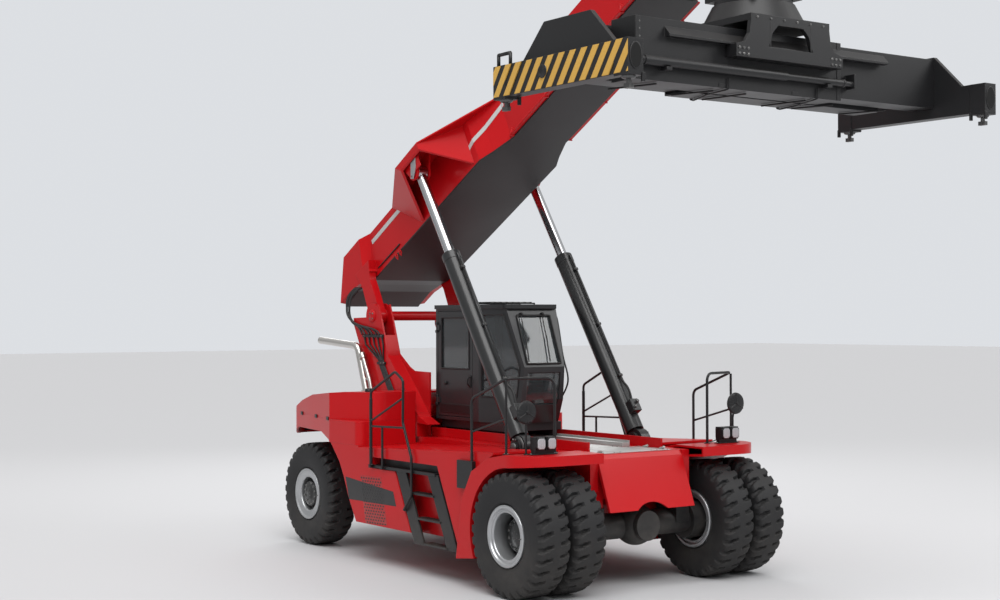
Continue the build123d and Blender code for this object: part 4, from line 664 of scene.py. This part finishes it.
for side, sign in SIDES:
    foil = Fitting()
    for x in (-LOCK_X, LOCK_X):
        foil.plate([(x + a, SOCKET_Z + b) for a, b in circle(24, 0.10)], "y",
                   sign * (CORNER_FACE_Y - 0.002), sign * (CORNER_FACE_Y + 0.001), GREY, 0)
    for i in range(-2, STRIPES):
        start = STRIPE_START + i * STRIPE_PITCH
        end = start + STRIPE_WIDE
        corners = [(start, STRIPE_LOW), (end, STRIPE_LOW), (end + STRIPE_LEAN, STRIPE_HIGH),
                   (start + STRIPE_LEAN, STRIPE_HIGH)]
        corners = kept_part(kept_part(corners, STRIPE_END, 1), STRIPE_START, -1)
        if len(corners) < 3:
            continue
        reach = max(abs(x) for x, z in corners)
        outer = CORNER_FACE_Y if reach > CORNER_START else END_FACE_Y
        foil.plate([(-sign * x, z) for x, z in corners], "y", sign * END_FACE_Y, sign * (outer + 0.003),
                   "hazard_yellow", 0)
    foil.turned([(0.0, 0.006), (0.062, 0.006), (0.064, 0.014), (0.078, 0.014), (0.08, 0.0)],
                (sign * 0.28, sign * END_FACE_Y, 6.39), (0, sign, 0), BLACK, 32)
    foil.done(f"hazard_stripes_{side}", f"arm_{side}", GREY, FROM_FRAME)

# %% Silver stripes, side band and vent
foil = Fitting()
# along the boom, sideways, above the boom's line
for points in ([(0.27, -0.702, 1.212), (1.62, -0.702, 1.22)],
               [(3.34, -0.702, 0.95), (3.50, -0.702, 0.995), (3.735, -0.603, 1.07), (4.095, -0.4865, 1.205),
                (4.16, -0.4865, 1.225)]):
    foil.strip(points, (0, 0, 0.075), (0, -0.0015, 0), "foil_silver")
foil.mirrored().done("boom_silver_stripes", "outer_boom", RED, ALONG_BOOM)

SIDE_Y = 1.93
VENT_X, VENT_Z, VENT_ROWS, VENT_COLUMNS, VENT_ROW, VENT_COLUMN = -3.92, 1.235, 16, 8, 0.0425, 0.0725
ROW_STEP, COLUMN_RISE, SLOT = 0.0095, 0.002, 0.012
BAND_LOW, BAND_HIGH, BAND_X, BAND_FALL = 0.895, 1.21, -4.3, 0.08 / 1.3
HEXAGON = ((-2, 0), (-1, 1), (1, 1), (2, 0), (1, -1), (-1, -1))
band = Fitting()
band.plate([(-4.40, 1.215), (-3.01, 1.105), (-2.93, 0.90), (-4.29, 0.885)], "y", -SIDE_Y - 0.0015, -SIDE_Y,
           "band_black", 0)
band.plate([(-3.952, 1.27), (-3.345, 1.285), (-3.185, 0.605), (-3.80, 0.572)], "y", -SIDE_Y - 0.0012, -SIDE_Y,
           "vent_red", 0)
# Each black hexagon is painted shade: a thin black plate where one of the vent's slots shows its dark inside.
for row in range(VENT_ROWS):
    for column in range(VENT_COLUMNS):
        x = VENT_X + row * ROW_STEP + (column + 0.5 * (row % 2)) * VENT_COLUMN
        z = VENT_Z - row * VENT_ROW + column * COLUMN_RISE
        on_band = BAND_LOW < z + (x - BAND_X) * BAND_FALL < BAND_HIGH
        band.plate([(x + a * SLOT, z + b * SLOT) for a, b in HEXAGON], "y",
                   -SIDE_Y - (0.0030 if on_band else 0.0022), -SIDE_Y, BLACK, 0)
band.mirrored().done("side_band_and_vent", "chassis", RED)

# %% [markdown]
# ## Body details
# Handles, latches, seams and lamps give the eye its scale.

# %% Hood and body
BODY_TAPER_X, BODY_TAPER = -4.9, 0.2294
LATCH_HALF, LATCH_DEEP = 0.055, 0.016
GRILLE_X, GRILLE_BARS, GRILLE_PITCH = -7.08, 9, 0.0185


def body_side_y(x):
    """Half width of the body, which tapers towards the rear."""
    return SIDE_Y - max(0.0, BODY_TAPER_X - x) * BODY_TAPER


hood = Fitting()
for side in (1, -1):
    for x in (-6.45, -5.62, -4.98):
        ends = [(x + w, side * body_side_y(x + w)) for w in (-LATCH_HALF, LATCH_HALF)]
        outer = [(a, b + side * LATCH_DEEP) for a, b in ends[::-1]]
        hood.plate(ends + outer, "z", 2.03, 2.085, BLACK, 0.005)
hood.block((GRILLE_X - 0.006, -0.72, 1.72), (GRILLE_X + 0.05, 0.72, 1.90), BLACK, 0.01)
for i in range(GRILLE_BARS):
    z = 1.735 + i * GRILLE_PITCH
    hood.block((GRILLE_X - 0.014, -0.70, z), (GRILLE_X, 0.70, z + 0.006), DARK, 0.002)
for y in (-1.12, 1.12):
    hood.block((GRILLE_X - 0.012, y - 0.12, 1.73), (GRILLE_X + 0.05, y + 0.12, 1.87), BLACK, 0.01)
    for y0, lens in ((y - 0.105, "lamp_red"), (y + 0.005, "lamp_amber")):
        hood.block((GRILLE_X - 0.018, y0, 1.745), (GRILLE_X - 0.008, y0 + 0.1, 1.855), lens, 0.006)
hood.cap((-4.35, -1.55, 2.478), UP, 0.06, 0.05, 0.05, BLACK, 24)
hood.done("hood_fittings", "chassis", BLACK)

# %% Lamps and mirrors
LAMP_Z, LENS_SHARE = 1.98, 0.82
OCTAGON = ((-0.072, -0.050), (-0.046, -0.082), (0.046, -0.082), (0.072, -0.050), (0.072, 0.050),
           (0.046, 0.082), (-0.046, 0.082), (-0.072, 0.050))
lamps = Fitting()
for y in (1.515, 1.685):
    for share, x0, x1, look, rounding in ((1, 0.205, 0.238, BLACK, 0.006),
                                          (LENS_SHARE, 0.236, 0.243, "lens_white", 0.003)):
        lamps.plate([(y + share * a, LAMP_Z + share * b) for a, b in OCTAGON], "x", x0, x1, look, rounding)
    for rib in (y - 0.032, y, y + 0.032):
        lamps.block((0.240, rib - 0.003, 1.925), (0.2455, rib + 0.003, 2.035), "lens_white", 0.001)
    for fin in (y - 0.06 + i * 0.026 for i in range(5)):
        lamps.block((0.075, fin, 1.92), (0.098, fin + 0.008, 2.04), BLACK, 0.001)
lamps.block((0.10, 1.40, 1.838), (0.20, 1.80, 1.849), BLACK, 0.003)
lamps.bolts([(0.15, 1.415, 1.849), (0.15, 1.785, 1.849)], UP, 0.011)
lamps.hose([(0.085, 1.60, 1.96), (0.04, 1.58, 1.93), (0.03, 1.50, 1.86), (-0.05, 1.45, 1.845)], 0.008,
           RUBBER)
lamps.mirrored().done("lamp_heads", "chassis", BLACK)

MIRROR, MIRROR_FACES = Vector((0.095, 1.82, 2.38)), (1, 0, 0)


def on_mirror(x, reach=0.0, turn=0.0):
    """A point x in front of the mirror's middle and out from it by reach, at an angle in degrees."""
    turn = math.radians(turn)
    return MIRROR + Vector((x, reach * math.cos(turn), reach * math.sin(turn)))


mirror = Fitting()
mirror.turned([(0.0, 0.030), (0.06, 0.028), (0.12, 0.021), (0.150, 0.012), (0.153, 0.0), (0.150, -0.012)],
              MIRROR, MIRROR_FACES, BLACK, 48)
mirror.turned([(0.150, -0.012), (0.146, -0.017), (0.138, -0.016), (0.0, -0.022)], MIRROR, MIRROR_FACES,
              "mirror_glass", 48)
for turn in (90, 210, 330):
    mirror.rod(on_mirror(0.034), on_mirror(0.020, 0.146, turn), 0.006, DARK, 8)
for turn in range(0, 360, 20):
    mirror.rod(on_mirror(0.024, 0.05, turn), on_mirror(0.014, 0.145, turn), 0.0035, BLACK, 6)
mirror.rod(on_mirror(0.02), on_mirror(0.05), 0.022, DARK, 16, 0.003)
mirror.rod((0.068, 1.80, 1.836), (0.068, 1.80, 1.846), 0.04, BLACK)
mirror.mirrored().done("mirror_heads", "chassis", BLACK)

# %% Handrail feet, ladder treads and deck plates
TREAD_RIBS, RIB_PITCH = 10, 0.058
DECK_LOW, DECK_HIGH, PLATE_EDGE = 1.7903, 1.7955, 0.04
feet = Fitting()
for x, y, z in ((-3.575, 1.9693, 1.4505), (-0.15, 1.962, 1.8355), (0.045, 1.33, 1.8355)):
    feet.rod((x, y, z), (x, y, z + 0.007), 0.048, BLACK, 20, 0.002)
    feet.bolts([(x + 0.033, y, z + 0.007), (x - 0.033, y, z + 0.007)], UP, 0.008)
for z in (0.45, 0.79, 1.13):
    start = -2.66 + (1.43 - z) * 0.5
    for x in (start + i * RIB_PITCH for i in range(TREAD_RIBS)):
        feet.block((x, 1.80, z + 0.014), (x + 0.02, 1.945, z + 0.018), DARK, 0.001)
feet.mirrored().done("rail_feet_and_treads", "chassis", BLACK)

deck = Fitting()
for x0, x1, y0, y1 in ((-1.55, -0.70, -0.31, 0.31), (-0.68, 0.13, -0.31, 0.31), (-0.56, 0.13, -0.60, -0.33),
                       (-0.56, 0.13, 0.33, 0.60)):
    deck.block((x0, y0, DECK_LOW), (x1, y1, DECK_HIGH), "rail_steel", 0.002)
    corners = [(x, y, DECK_HIGH) for x in (x0 + PLATE_EDGE, x1 - PLATE_EDGE)
               for y in (y0 + PLATE_EDGE, y1 - PLATE_EDGE)]
    deck.bolts(corners, UP, 0.009)
for x, y in ((-0.40, 0.54), (-0.05, 0.54), (-0.40, -0.54), (-0.05, -0.54)):
    deck.rod((x, y, 1.795), (x + 0.10, y, 1.822), 0.018, "rail_steel", 12, 0.004)
deck.done("deck_plates", "chassis", "rail_steel")

# %% [markdown]
# ## Cab details
# Glass needs its rubber seals, and the windscreen its wipers and grab bar. Without them a pane
# reads as a hole.

# %% Cab seals, wipers, guard and seat controls
def windscreen(y, up):
    """A point on the sloping windscreen, up from its lower edge, just outside the glass."""
    return Vector((-1.955 - 0.37 * up + 0.012, y, 2.88 + 0.93 * up + 0.005))


def cab_side_y(x):
    """Half width of the cab, which tapers towards its front."""
    return 0.59 - max(0.0, x + 2.80) * 0.274


def seal(fitting, corners, radius=0.011):
    """A rubber seal round an opening."""
    for a, b in zip(corners, corners[1:] + corners[:1]):
        fitting.rod(a, b, radius, RUBBER, 8)


cab = Fitting()
seal(cab, [windscreen(y, up) for y, up in ((-0.30, 0.05), (0.30, 0.05), (0.30, 0.80), (-0.30, 0.80))])
seal(cab, [(-2.148, -0.30, 2.33), (-2.148, 0.30, 2.33), (-1.985, 0.30, 2.80), (-1.985, -0.30, 2.80)])
for y in (-0.22, 0.16):
    foot, tip = windscreen(y, 0.82), windscreen(y - 0.03, 0.22)
    cab.rod(foot, tip, 0.007, BLACK, 8)
    cab.rod(windscreen(y - 0.05, 0.08), windscreen(y - 0.01, 0.48), 0.010, RUBBER, 6)
    cab.rod(foot + Vector((-0.02, 0, 0)), foot + Vector((0.03, 0, 0.01)), 0.022, BLACK, 12, 0.004)
seal(cab, [(x, 0.592, z) for x, z in ((-3.82, 2.80), (-2.86, 2.80), (-2.86, 3.62), (-3.82, 3.62))])
seal(cab, [(-3.962, y, z) for y, z in ((-0.48, 2.90), (0.48, 2.90), (0.48, 3.60), (-0.48, 3.60))])
for sign in (1, -1):
    seal(cab, [(x, sign * (cab_side_y(x) + 0.004), z)
               for x, z in ((-2.745, 2.44), (-2.10, 2.44), (-2.045, 2.88), (-2.33, 3.64), (-2.745, 3.64))])
for y in (-0.33 + i * 0.11 for i in range(7)):
    cab.rod((-3.52, y, 3.825), (-2.74, y, 3.825), 0.009, BLACK, 8)
for x in (-3.50, -3.13, -2.76):
    cab.rod((x, -0.40, 3.812), (x, 0.40, 3.812), 0.011, BLACK, 8)
    for y in (-0.40, 0.40):
        cab.rod((x, y, 3.785), (x, y, 3.82), 0.011, BLACK, 8)
cab.hose([(-2.50, 0.44, 3.74), (-2.36, 0.50, 3.70), (-2.27, 0.50, 3.40), (-2.19, 0.50, 3.02),
          (-2.04, 0.50, 2.72), (-2.08, 0.49, 2.55), (-2.32, 0.46, 2.25), (-2.42, 0.44, 2.18)], 0.013, BLACK)
for y in (-0.36, 0.27):
    cab.block((-3.62, y, 2.66), (-3.12, y + 0.09, 2.72), "seat_black", 0.02)
cab.rod((-3.16, -0.315, 2.71), (-3.13, -0.315, 2.85), 0.014, BLACK, 12)
cab.rod((-3.13, -0.315, 2.84), (-3.12, -0.315, 2.90), 0.026, BLACK, 16, 0.01)
cab.block((-2.52, -0.33, 2.14), (-2.40, 0.33, 2.62), BLACK, 0.03)
cab.block((-3.73, -0.22, 3.16), (-3.62, 0.22, 3.40), "seat_black", 0.045)
for x in (-3.8, -2.35):
    cab.block((x - 0.06, -0.5, 1.952), (x + 0.06, 0.5, 1.985), BLACK, 0.006)
cab.done("cab_fittings", "cab", BLACK)

door = Fitting()
seal(door, [(x, -0.592, z) for x, z in ((-3.80, 2.83), (-3.05, 2.83), (-3.05, 3.60), (-3.80, 3.60))], 0.012)
door.block((-3.055, -0.60, 2.56), (-2.99, -0.588, 2.74), BLACK, 0.01)
door.hose([(-3.023, y, z) for y, z in ((-0.596, 2.58), (-0.645, 2.60), (-0.645, 2.70), (-0.596, 2.72))],
          0.010, BLACK)
door.rod((-3.67, -0.59, 2.61), (-3.67, -0.625, 2.61), 0.028, RUBBER, 20, 0.006)
door.block((-3.84, -0.598, 2.16), (-3.02, -0.588, 2.30), BLACK, 0.006)
door.done("door_fittings", "cab_door", BLACK)

# %% [markdown]
# ## Boom and cylinder details
# Pipes run along the cylinders, and short hoses cross the boom pivot. Those hoses bend as the boom
# rises; their piece stays where it is drawn, on no body, and does not follow the boom.

# %% Boom fittings
# Places are along the boom, sideways, and above the boom's line through its pivot.
BOX_Y, WING_Y, TOP_PIPE_Z = -0.4838, -1.163, 1.392
boom = Fitting()
boom.block((4.15, -0.56, 0.655), (7.38, BOX_Y, 0.680), RED, 0.003)
for s in (4.16, 5.11, 6.05, 7.0):
    boom.plate([(s - 0.09, 0.68), (s + 0.09, 0.68), (s, 0.80)], "y", -0.50, BOX_Y, RED)
    boom.plate([(-0.565, 0.64), (BOX_Y, 0.64), (BOX_Y, 0.80)], "x", s - 0.01, s + 0.01, RED)
boom.plate([(2.40, 1.02), (2.46, 0.98), (2.60, 1.10), (2.66, 1.24), (2.60, 1.30), (2.52, 1.24)], "y",
           WING_Y - 0.0135, WING_Y, "rim_grey")
boom.bolts([(2.45, WING_Y - 0.0135, 1.03), (2.60, WING_Y - 0.0135, 1.25)], RIGHT, 0.014)
boom.turned([(0.0, 0.022), (0.05, 0.022), (0.06, 0.012), (0.06, 0.0)], (2.476, -1.147, 1.09), RIGHT,
            STEEL, 24)
boom.hose([(0.25, -0.705, 0.745), (0.6, -0.712, 0.735), (1.0, -0.712, 0.735)], 0.012, BLACK)
boom.rod((-0.47, -0.60, 1.37), (-0.47, -0.60, 1.44), 0.03, RED, 16, 0.005)
boom.turned([(0.055, -0.014), (0.062, 0.0), (0.055, 0.014), (0.035, 0.014), (0.028, 0.0), (0.035, -0.014)],
            (-0.47, -0.60, 1.465), (0, 1, 0), RED, 24, closed=True)
boom.mirrored()
for s in (0.84, 0.96):
    boom.block((s, -0.712, 0.575), (s + 0.025, -0.6985, 0.64), RED, 0.004)
    hoop = ((-0.705, 0.64), (-0.74, 0.625), (-0.742, 0.57), (-0.71, 0.545))
    boom.hose([(s + 0.012, y, z) for y, z in hoop], 0.009, RED)
boom.bolts([(7.34, -0.40 + i * 0.16, 1.37) for i in range(6)], UP, 0.016)
for s in (4.6, 5.4, 6.2, 7.0):
    boom.block((s - 0.03, -0.20, 1.369), (s + 0.03, 0.20, TOP_PIPE_Z), RED, 0.004)
for y in (-0.15, -0.09, -0.03, 0.03, 0.09, 0.15):
    boom.rod((0.1, y, TOP_PIPE_Z), (7.3, y, TOP_PIPE_Z), 0.012, RUBBER, 8)
boom.done("boom_fittings", "outer_boom", RED, ALONG_BOOM)

# %% Hoses over the pivot
PIVOT_HOSES, HOSE_PITCH = 6, 0.115
jump = Fitting()
for i in range(PIVOT_HOSES):
    y = -0.935 - 0.016 * (i % 2)
    start = Vector((-5.62 + i * HOSE_PITCH, y, 3.335))
    sag, shift = 0.10 + 0.03 * (i % 3), i * 0.03
    jump.hose([start, start + Vector((-0.05, 0, 0.10)), (-6.02 - sag + shift, y + 0.02, 3.62 - 0.03 * i),
               (-6.16 - sag * 0.5 + shift, -0.90, 3.86), (-6.14 + shift, -0.86, 4.02),
               (-6.04 + i * 0.035, -0.82, 4.09)], 0.014, RUBBER, 8)
jump.crossing("pivot_hoses")

# %% Lift cylinders
# Each is drawn standing on its foot's pin, its rod up, and then leaned to its place.
FOOT_X, FOOT_Y, FOOT_Z, EYE_X, EYE_Z = -1.08, 1.03, 1.83, -3.713, 5.784
CYLINDER_TURN = math.atan2(EYE_X - FOOT_X, EYE_Z - FOOT_Z)
PIPE_X, PIPE_R = 0.162, 0.014
for side, sign in SIDES:
    pipes = Fitting()
    pipes.rod((PIPE_X, 0, 0.95), (PIPE_X, 0, 3.06), PIPE_R, PIPE, 12)
    pipes.hose([(PIPE_X, 0, 3.04), (PIPE_X, 0, 3.13), (0.15, 0, 3.165), (0.12, 0, 3.165)], PIPE_R, PIPE)
    for z in (1.0, 1.9, 2.9):
        pipes.block((0.12, -0.035, z - 0.02), (0.184, 0.035, z + 0.02), PIPE, 0.006)
        pipes.bolt((0.184, 0, z), (1, 0, 0), 0.010)
    pipes.turned([(0.083, 0.0), (0.098, 0.004), (0.104, 0.018), (0.10, 0.026), (0.079, 0.028)], (0, 0, 3.23),
                 UP, BLACK, 40)
    pipes.block((0.10, -0.075, 0.36), (0.235, 0.075, 0.56), PIPE, 0.012)
    pipes.rod((0.235, 0.03, 0.50), (0.275, 0.03, 0.50), 0.024, STEEL, 6)
    pipes.rod((0.235, -0.03, 0.42), (0.265, -0.03, 0.42), 0.020, STEEL, 6)
    pipes.hose([(PIPE_X, 0, 0.96), (0.165, 0, 0.88), (0.22, sign * -0.01, 0.78), (0.215, 0, 0.66),
                (0.18, 0, 0.56)], 0.017, RUBBER)
    pipes.turned([(0.06, -0.02), (0.145, -0.02), (0.15, -0.012), (0.15, 0.0), (0.06, 0.0)],
                 (0, sign * 0.0955, 0), (0, sign, 0), STEEL, 36, closed=True)
    foot = Matrix.Translation((FOOT_X, sign * FOOT_Y, FOOT_Z))
    place = FROM_AXLE @ foot @ Matrix.Rotation(CYLINDER_TURN, 4, "Y")
    pipes.done(f"lift_cylinder_pipes_{side}", f"lift_barrel_{side}", PIPE, place)
print("cylinder lean in degrees:", round(math.degrees(CYLINDER_TURN), 1))

# %% Feet of the cylinders and pins of the towers
pins = Fitting()
pins.cap((PIVOT_X, -0.90, PIVOT_Z), RIGHT, 0.10, 0.085, 0.022, RED, 40)
pins.bolt_ring((PIVOT_X, -0.922, PIVOT_Z), RIGHT, 0.058, 4, 0.013)
pins.cap((FOOT_X, -1.185, FOOT_Z), RIGHT, 0.06, 0.05, 0.020, STEEL, 32)
pins.block((-1.13, -1.172, 1.91), (-1.03, -1.160, 1.95), DARK, 0.003)
pins.bolts([(-1.11, -1.172, 1.93), (-1.05, -1.172, 1.93)], RIGHT, 0.011)
pins.bolts([(x, y, 1.653) for x in (-1.30, -1.20, -0.96) for y in (-0.89, -1.17)], UP, 0.016)
for y in (-1.06, -1.01):
    pins.hose([(-0.93, y, 1.66), (-0.88, y, 1.80), (-0.80, y + 0.01, 1.88), (-0.70, y + 0.02, 1.84),
               (-0.64, y + 0.03, 1.78)], 0.017, RUBBER)
pins.mirrored()
# bolts of the tower hoses' clips: first x, last x, z
for x0, x1, z in ((-5.56, -5.04, 3.315), (-5.05, -4.96, 2.885), (-4.475, -4.385, 1.988)):
    pins.bolts([(x0, -0.928, z), (x1, -0.928, z)], RIGHT, 0.012)
pins.done("tower_and_foot_pins", "chassis", DARK)

# %% [markdown]
# ## Lifting frame details
# The frame is one dark colour, so its bolts, rods and hoses have to be real to show at all. It
# looks the same after half a turn, so one half is made and copied.

# %% Lifting frame, carriage, slewing ring
FRAME_LOW, HOSE_LOW, HOSE_HIGH, SIDE_X, RAM_X, RAM_Z, RING_BOLTS = 6.282, 6.262, 7.018, 0.448, 0.52, 6.49, 36
half = Fitting()
for x0, y0, x1, y1, rises in ((-0.23, -1.14, 0.31, -0.96, False), (0.0, -0.80, 0.43, -0.88, True),
                              (-0.34, 0.46, 0.33, 0.55, False), (-0.10, 0.82, 0.43, 0.60, True),
                              (-0.36, 1.88, 0.27, 2.07, False)):
    up_the_side = [(0.47, y1 + 0.02, 6.275), (0.475, y1 + 0.03, 6.40)] if rises else []
    half.hose([(x0, y0, HOSE_LOW), (x1, y1, HOSE_LOW)] + up_the_side, 0.011, BLACK, 8, 2)
for y in (-2.20, -1.0, 0.2):
    half.block((0.449, y, 6.285), (0.456, y + 0.10, 6.33), GREY, 0.003)
half.bolts([(0.452, -2.21, 6.34 + i * 0.085) for i in range(8)], (1, 0, 0), 0.012)
for y, x1 in ((-2.27, 0.462), (0.98, 0.456)):
    half.block((SIDE_X, y, FRAME_LOW), (x1, y + 0.07, 6.998), GREY, 0.003)
half.rod((RAM_X, -2.19, RAM_Z), (RAM_X, -2.235, RAM_Z), 0.045, GREY, 24, 0.006)
half.turned([(0.033, 0.0), (0.047, 0.0), (0.050, 0.006), (0.050, 0.03), (0.033, 0.034)], (RAM_X, 1.0, RAM_Z),
            (0, 1, 0), GREY, 28)
for x in (0.10, 0.16, 0.22, 0.28):
    half.hose([(x, -1.6, HOSE_HIGH), (x, -0.9, 7.03), (x, -0.2, HOSE_HIGH), (x, 0.9, HOSE_HIGH)], 0.011,
              RUBBER, 8)
half.half_turned().done("lifting_frame_fittings", "lifting_frame", GREY, FROM_FRAME)

carriage = Fitting()
for y in (-0.84, -0.77, -0.70, 0.70, 0.77, 0.84):
    carriage.bolts([(0.64, y, z) for z in (6.675, 6.745)], (1, 0, 0), 0.014)
for y in (-0.34, 0.34):
    carriage.plate([(0.641, 6.79), (0.641, 7.10), (0.60, 7.15)], "y", y - 0.012, y + 0.012, GREY)
carriage.bolts([(0.64, y, 7.13) for y in (-0.55, -0.33, -0.11, 0.11, 0.33, 0.55)], (1, 0, 0), 0.013)
carriage.half_turned().bolt_ring((0, 0, 7.17), UP, 0.60, RING_BOLTS, 0.012)
carriage.done("carriage_fittings", "carriage", GREY, FROM_FRAME)

# %% Ends of the lifting frame
END_X, LOOP_Y = 1.2495, 2.98
LOOP = [(1.21, 6.56), (1.21, 6.70), (0.97, 6.70), (0.97, 6.56)]
# half width, half height, how far out it stands, finish
# The inner oval is painted shadow: a near-black sheet where each lock socket's opening is dark inside.
SOCKET = ((0.086, 0.148, 0.007, GREY), (0.074, 0.136, 0.0085, "socket_dark"))
for side, sign in SIDES:
    ends = Fitting()
    guide_y = sign * 2.83
    for x in (-LOCK_X, LOCK_X):
        collar = [(0.029, 0.03), (0.06, 0.03), (0.075, 0.022), (0.08, 0.0), (0.08, -0.002), (0.029, -0.002)]
        ends.turned(collar, (x, sign * LOCK_Y, 6.165), (0, 0, -1), STEEL, 28)
        for x0 in (x - 0.13, x + 0.10):
            ends.block((x0, guide_y - 0.012, 6.10), (x0 + 0.03, guide_y + 0.03, 6.20), GREY, 0.004)
        face = math.copysign(END_X, x)
        for wide, tall, stands, look in SOCKET:
            oval = [(sign * LOCK_Y + a, SOCKET_Z + b) for a, b in circle(32, wide, tall)]
            ends.plate(oval, "x", face, face + math.copysign(stands, x), look, 0.001)
    for (xa, za), (xb, zb) in zip(LOOP, LOOP[1:]):
        ends.rod((-xa, sign * LOOP_Y, za), (-xb, sign * LOOP_Y, zb), 0.022, GREY, 10)
    ends.done(f"end_beam_fittings_{side}", f"arm_{side}", GREY, FROM_FRAME)
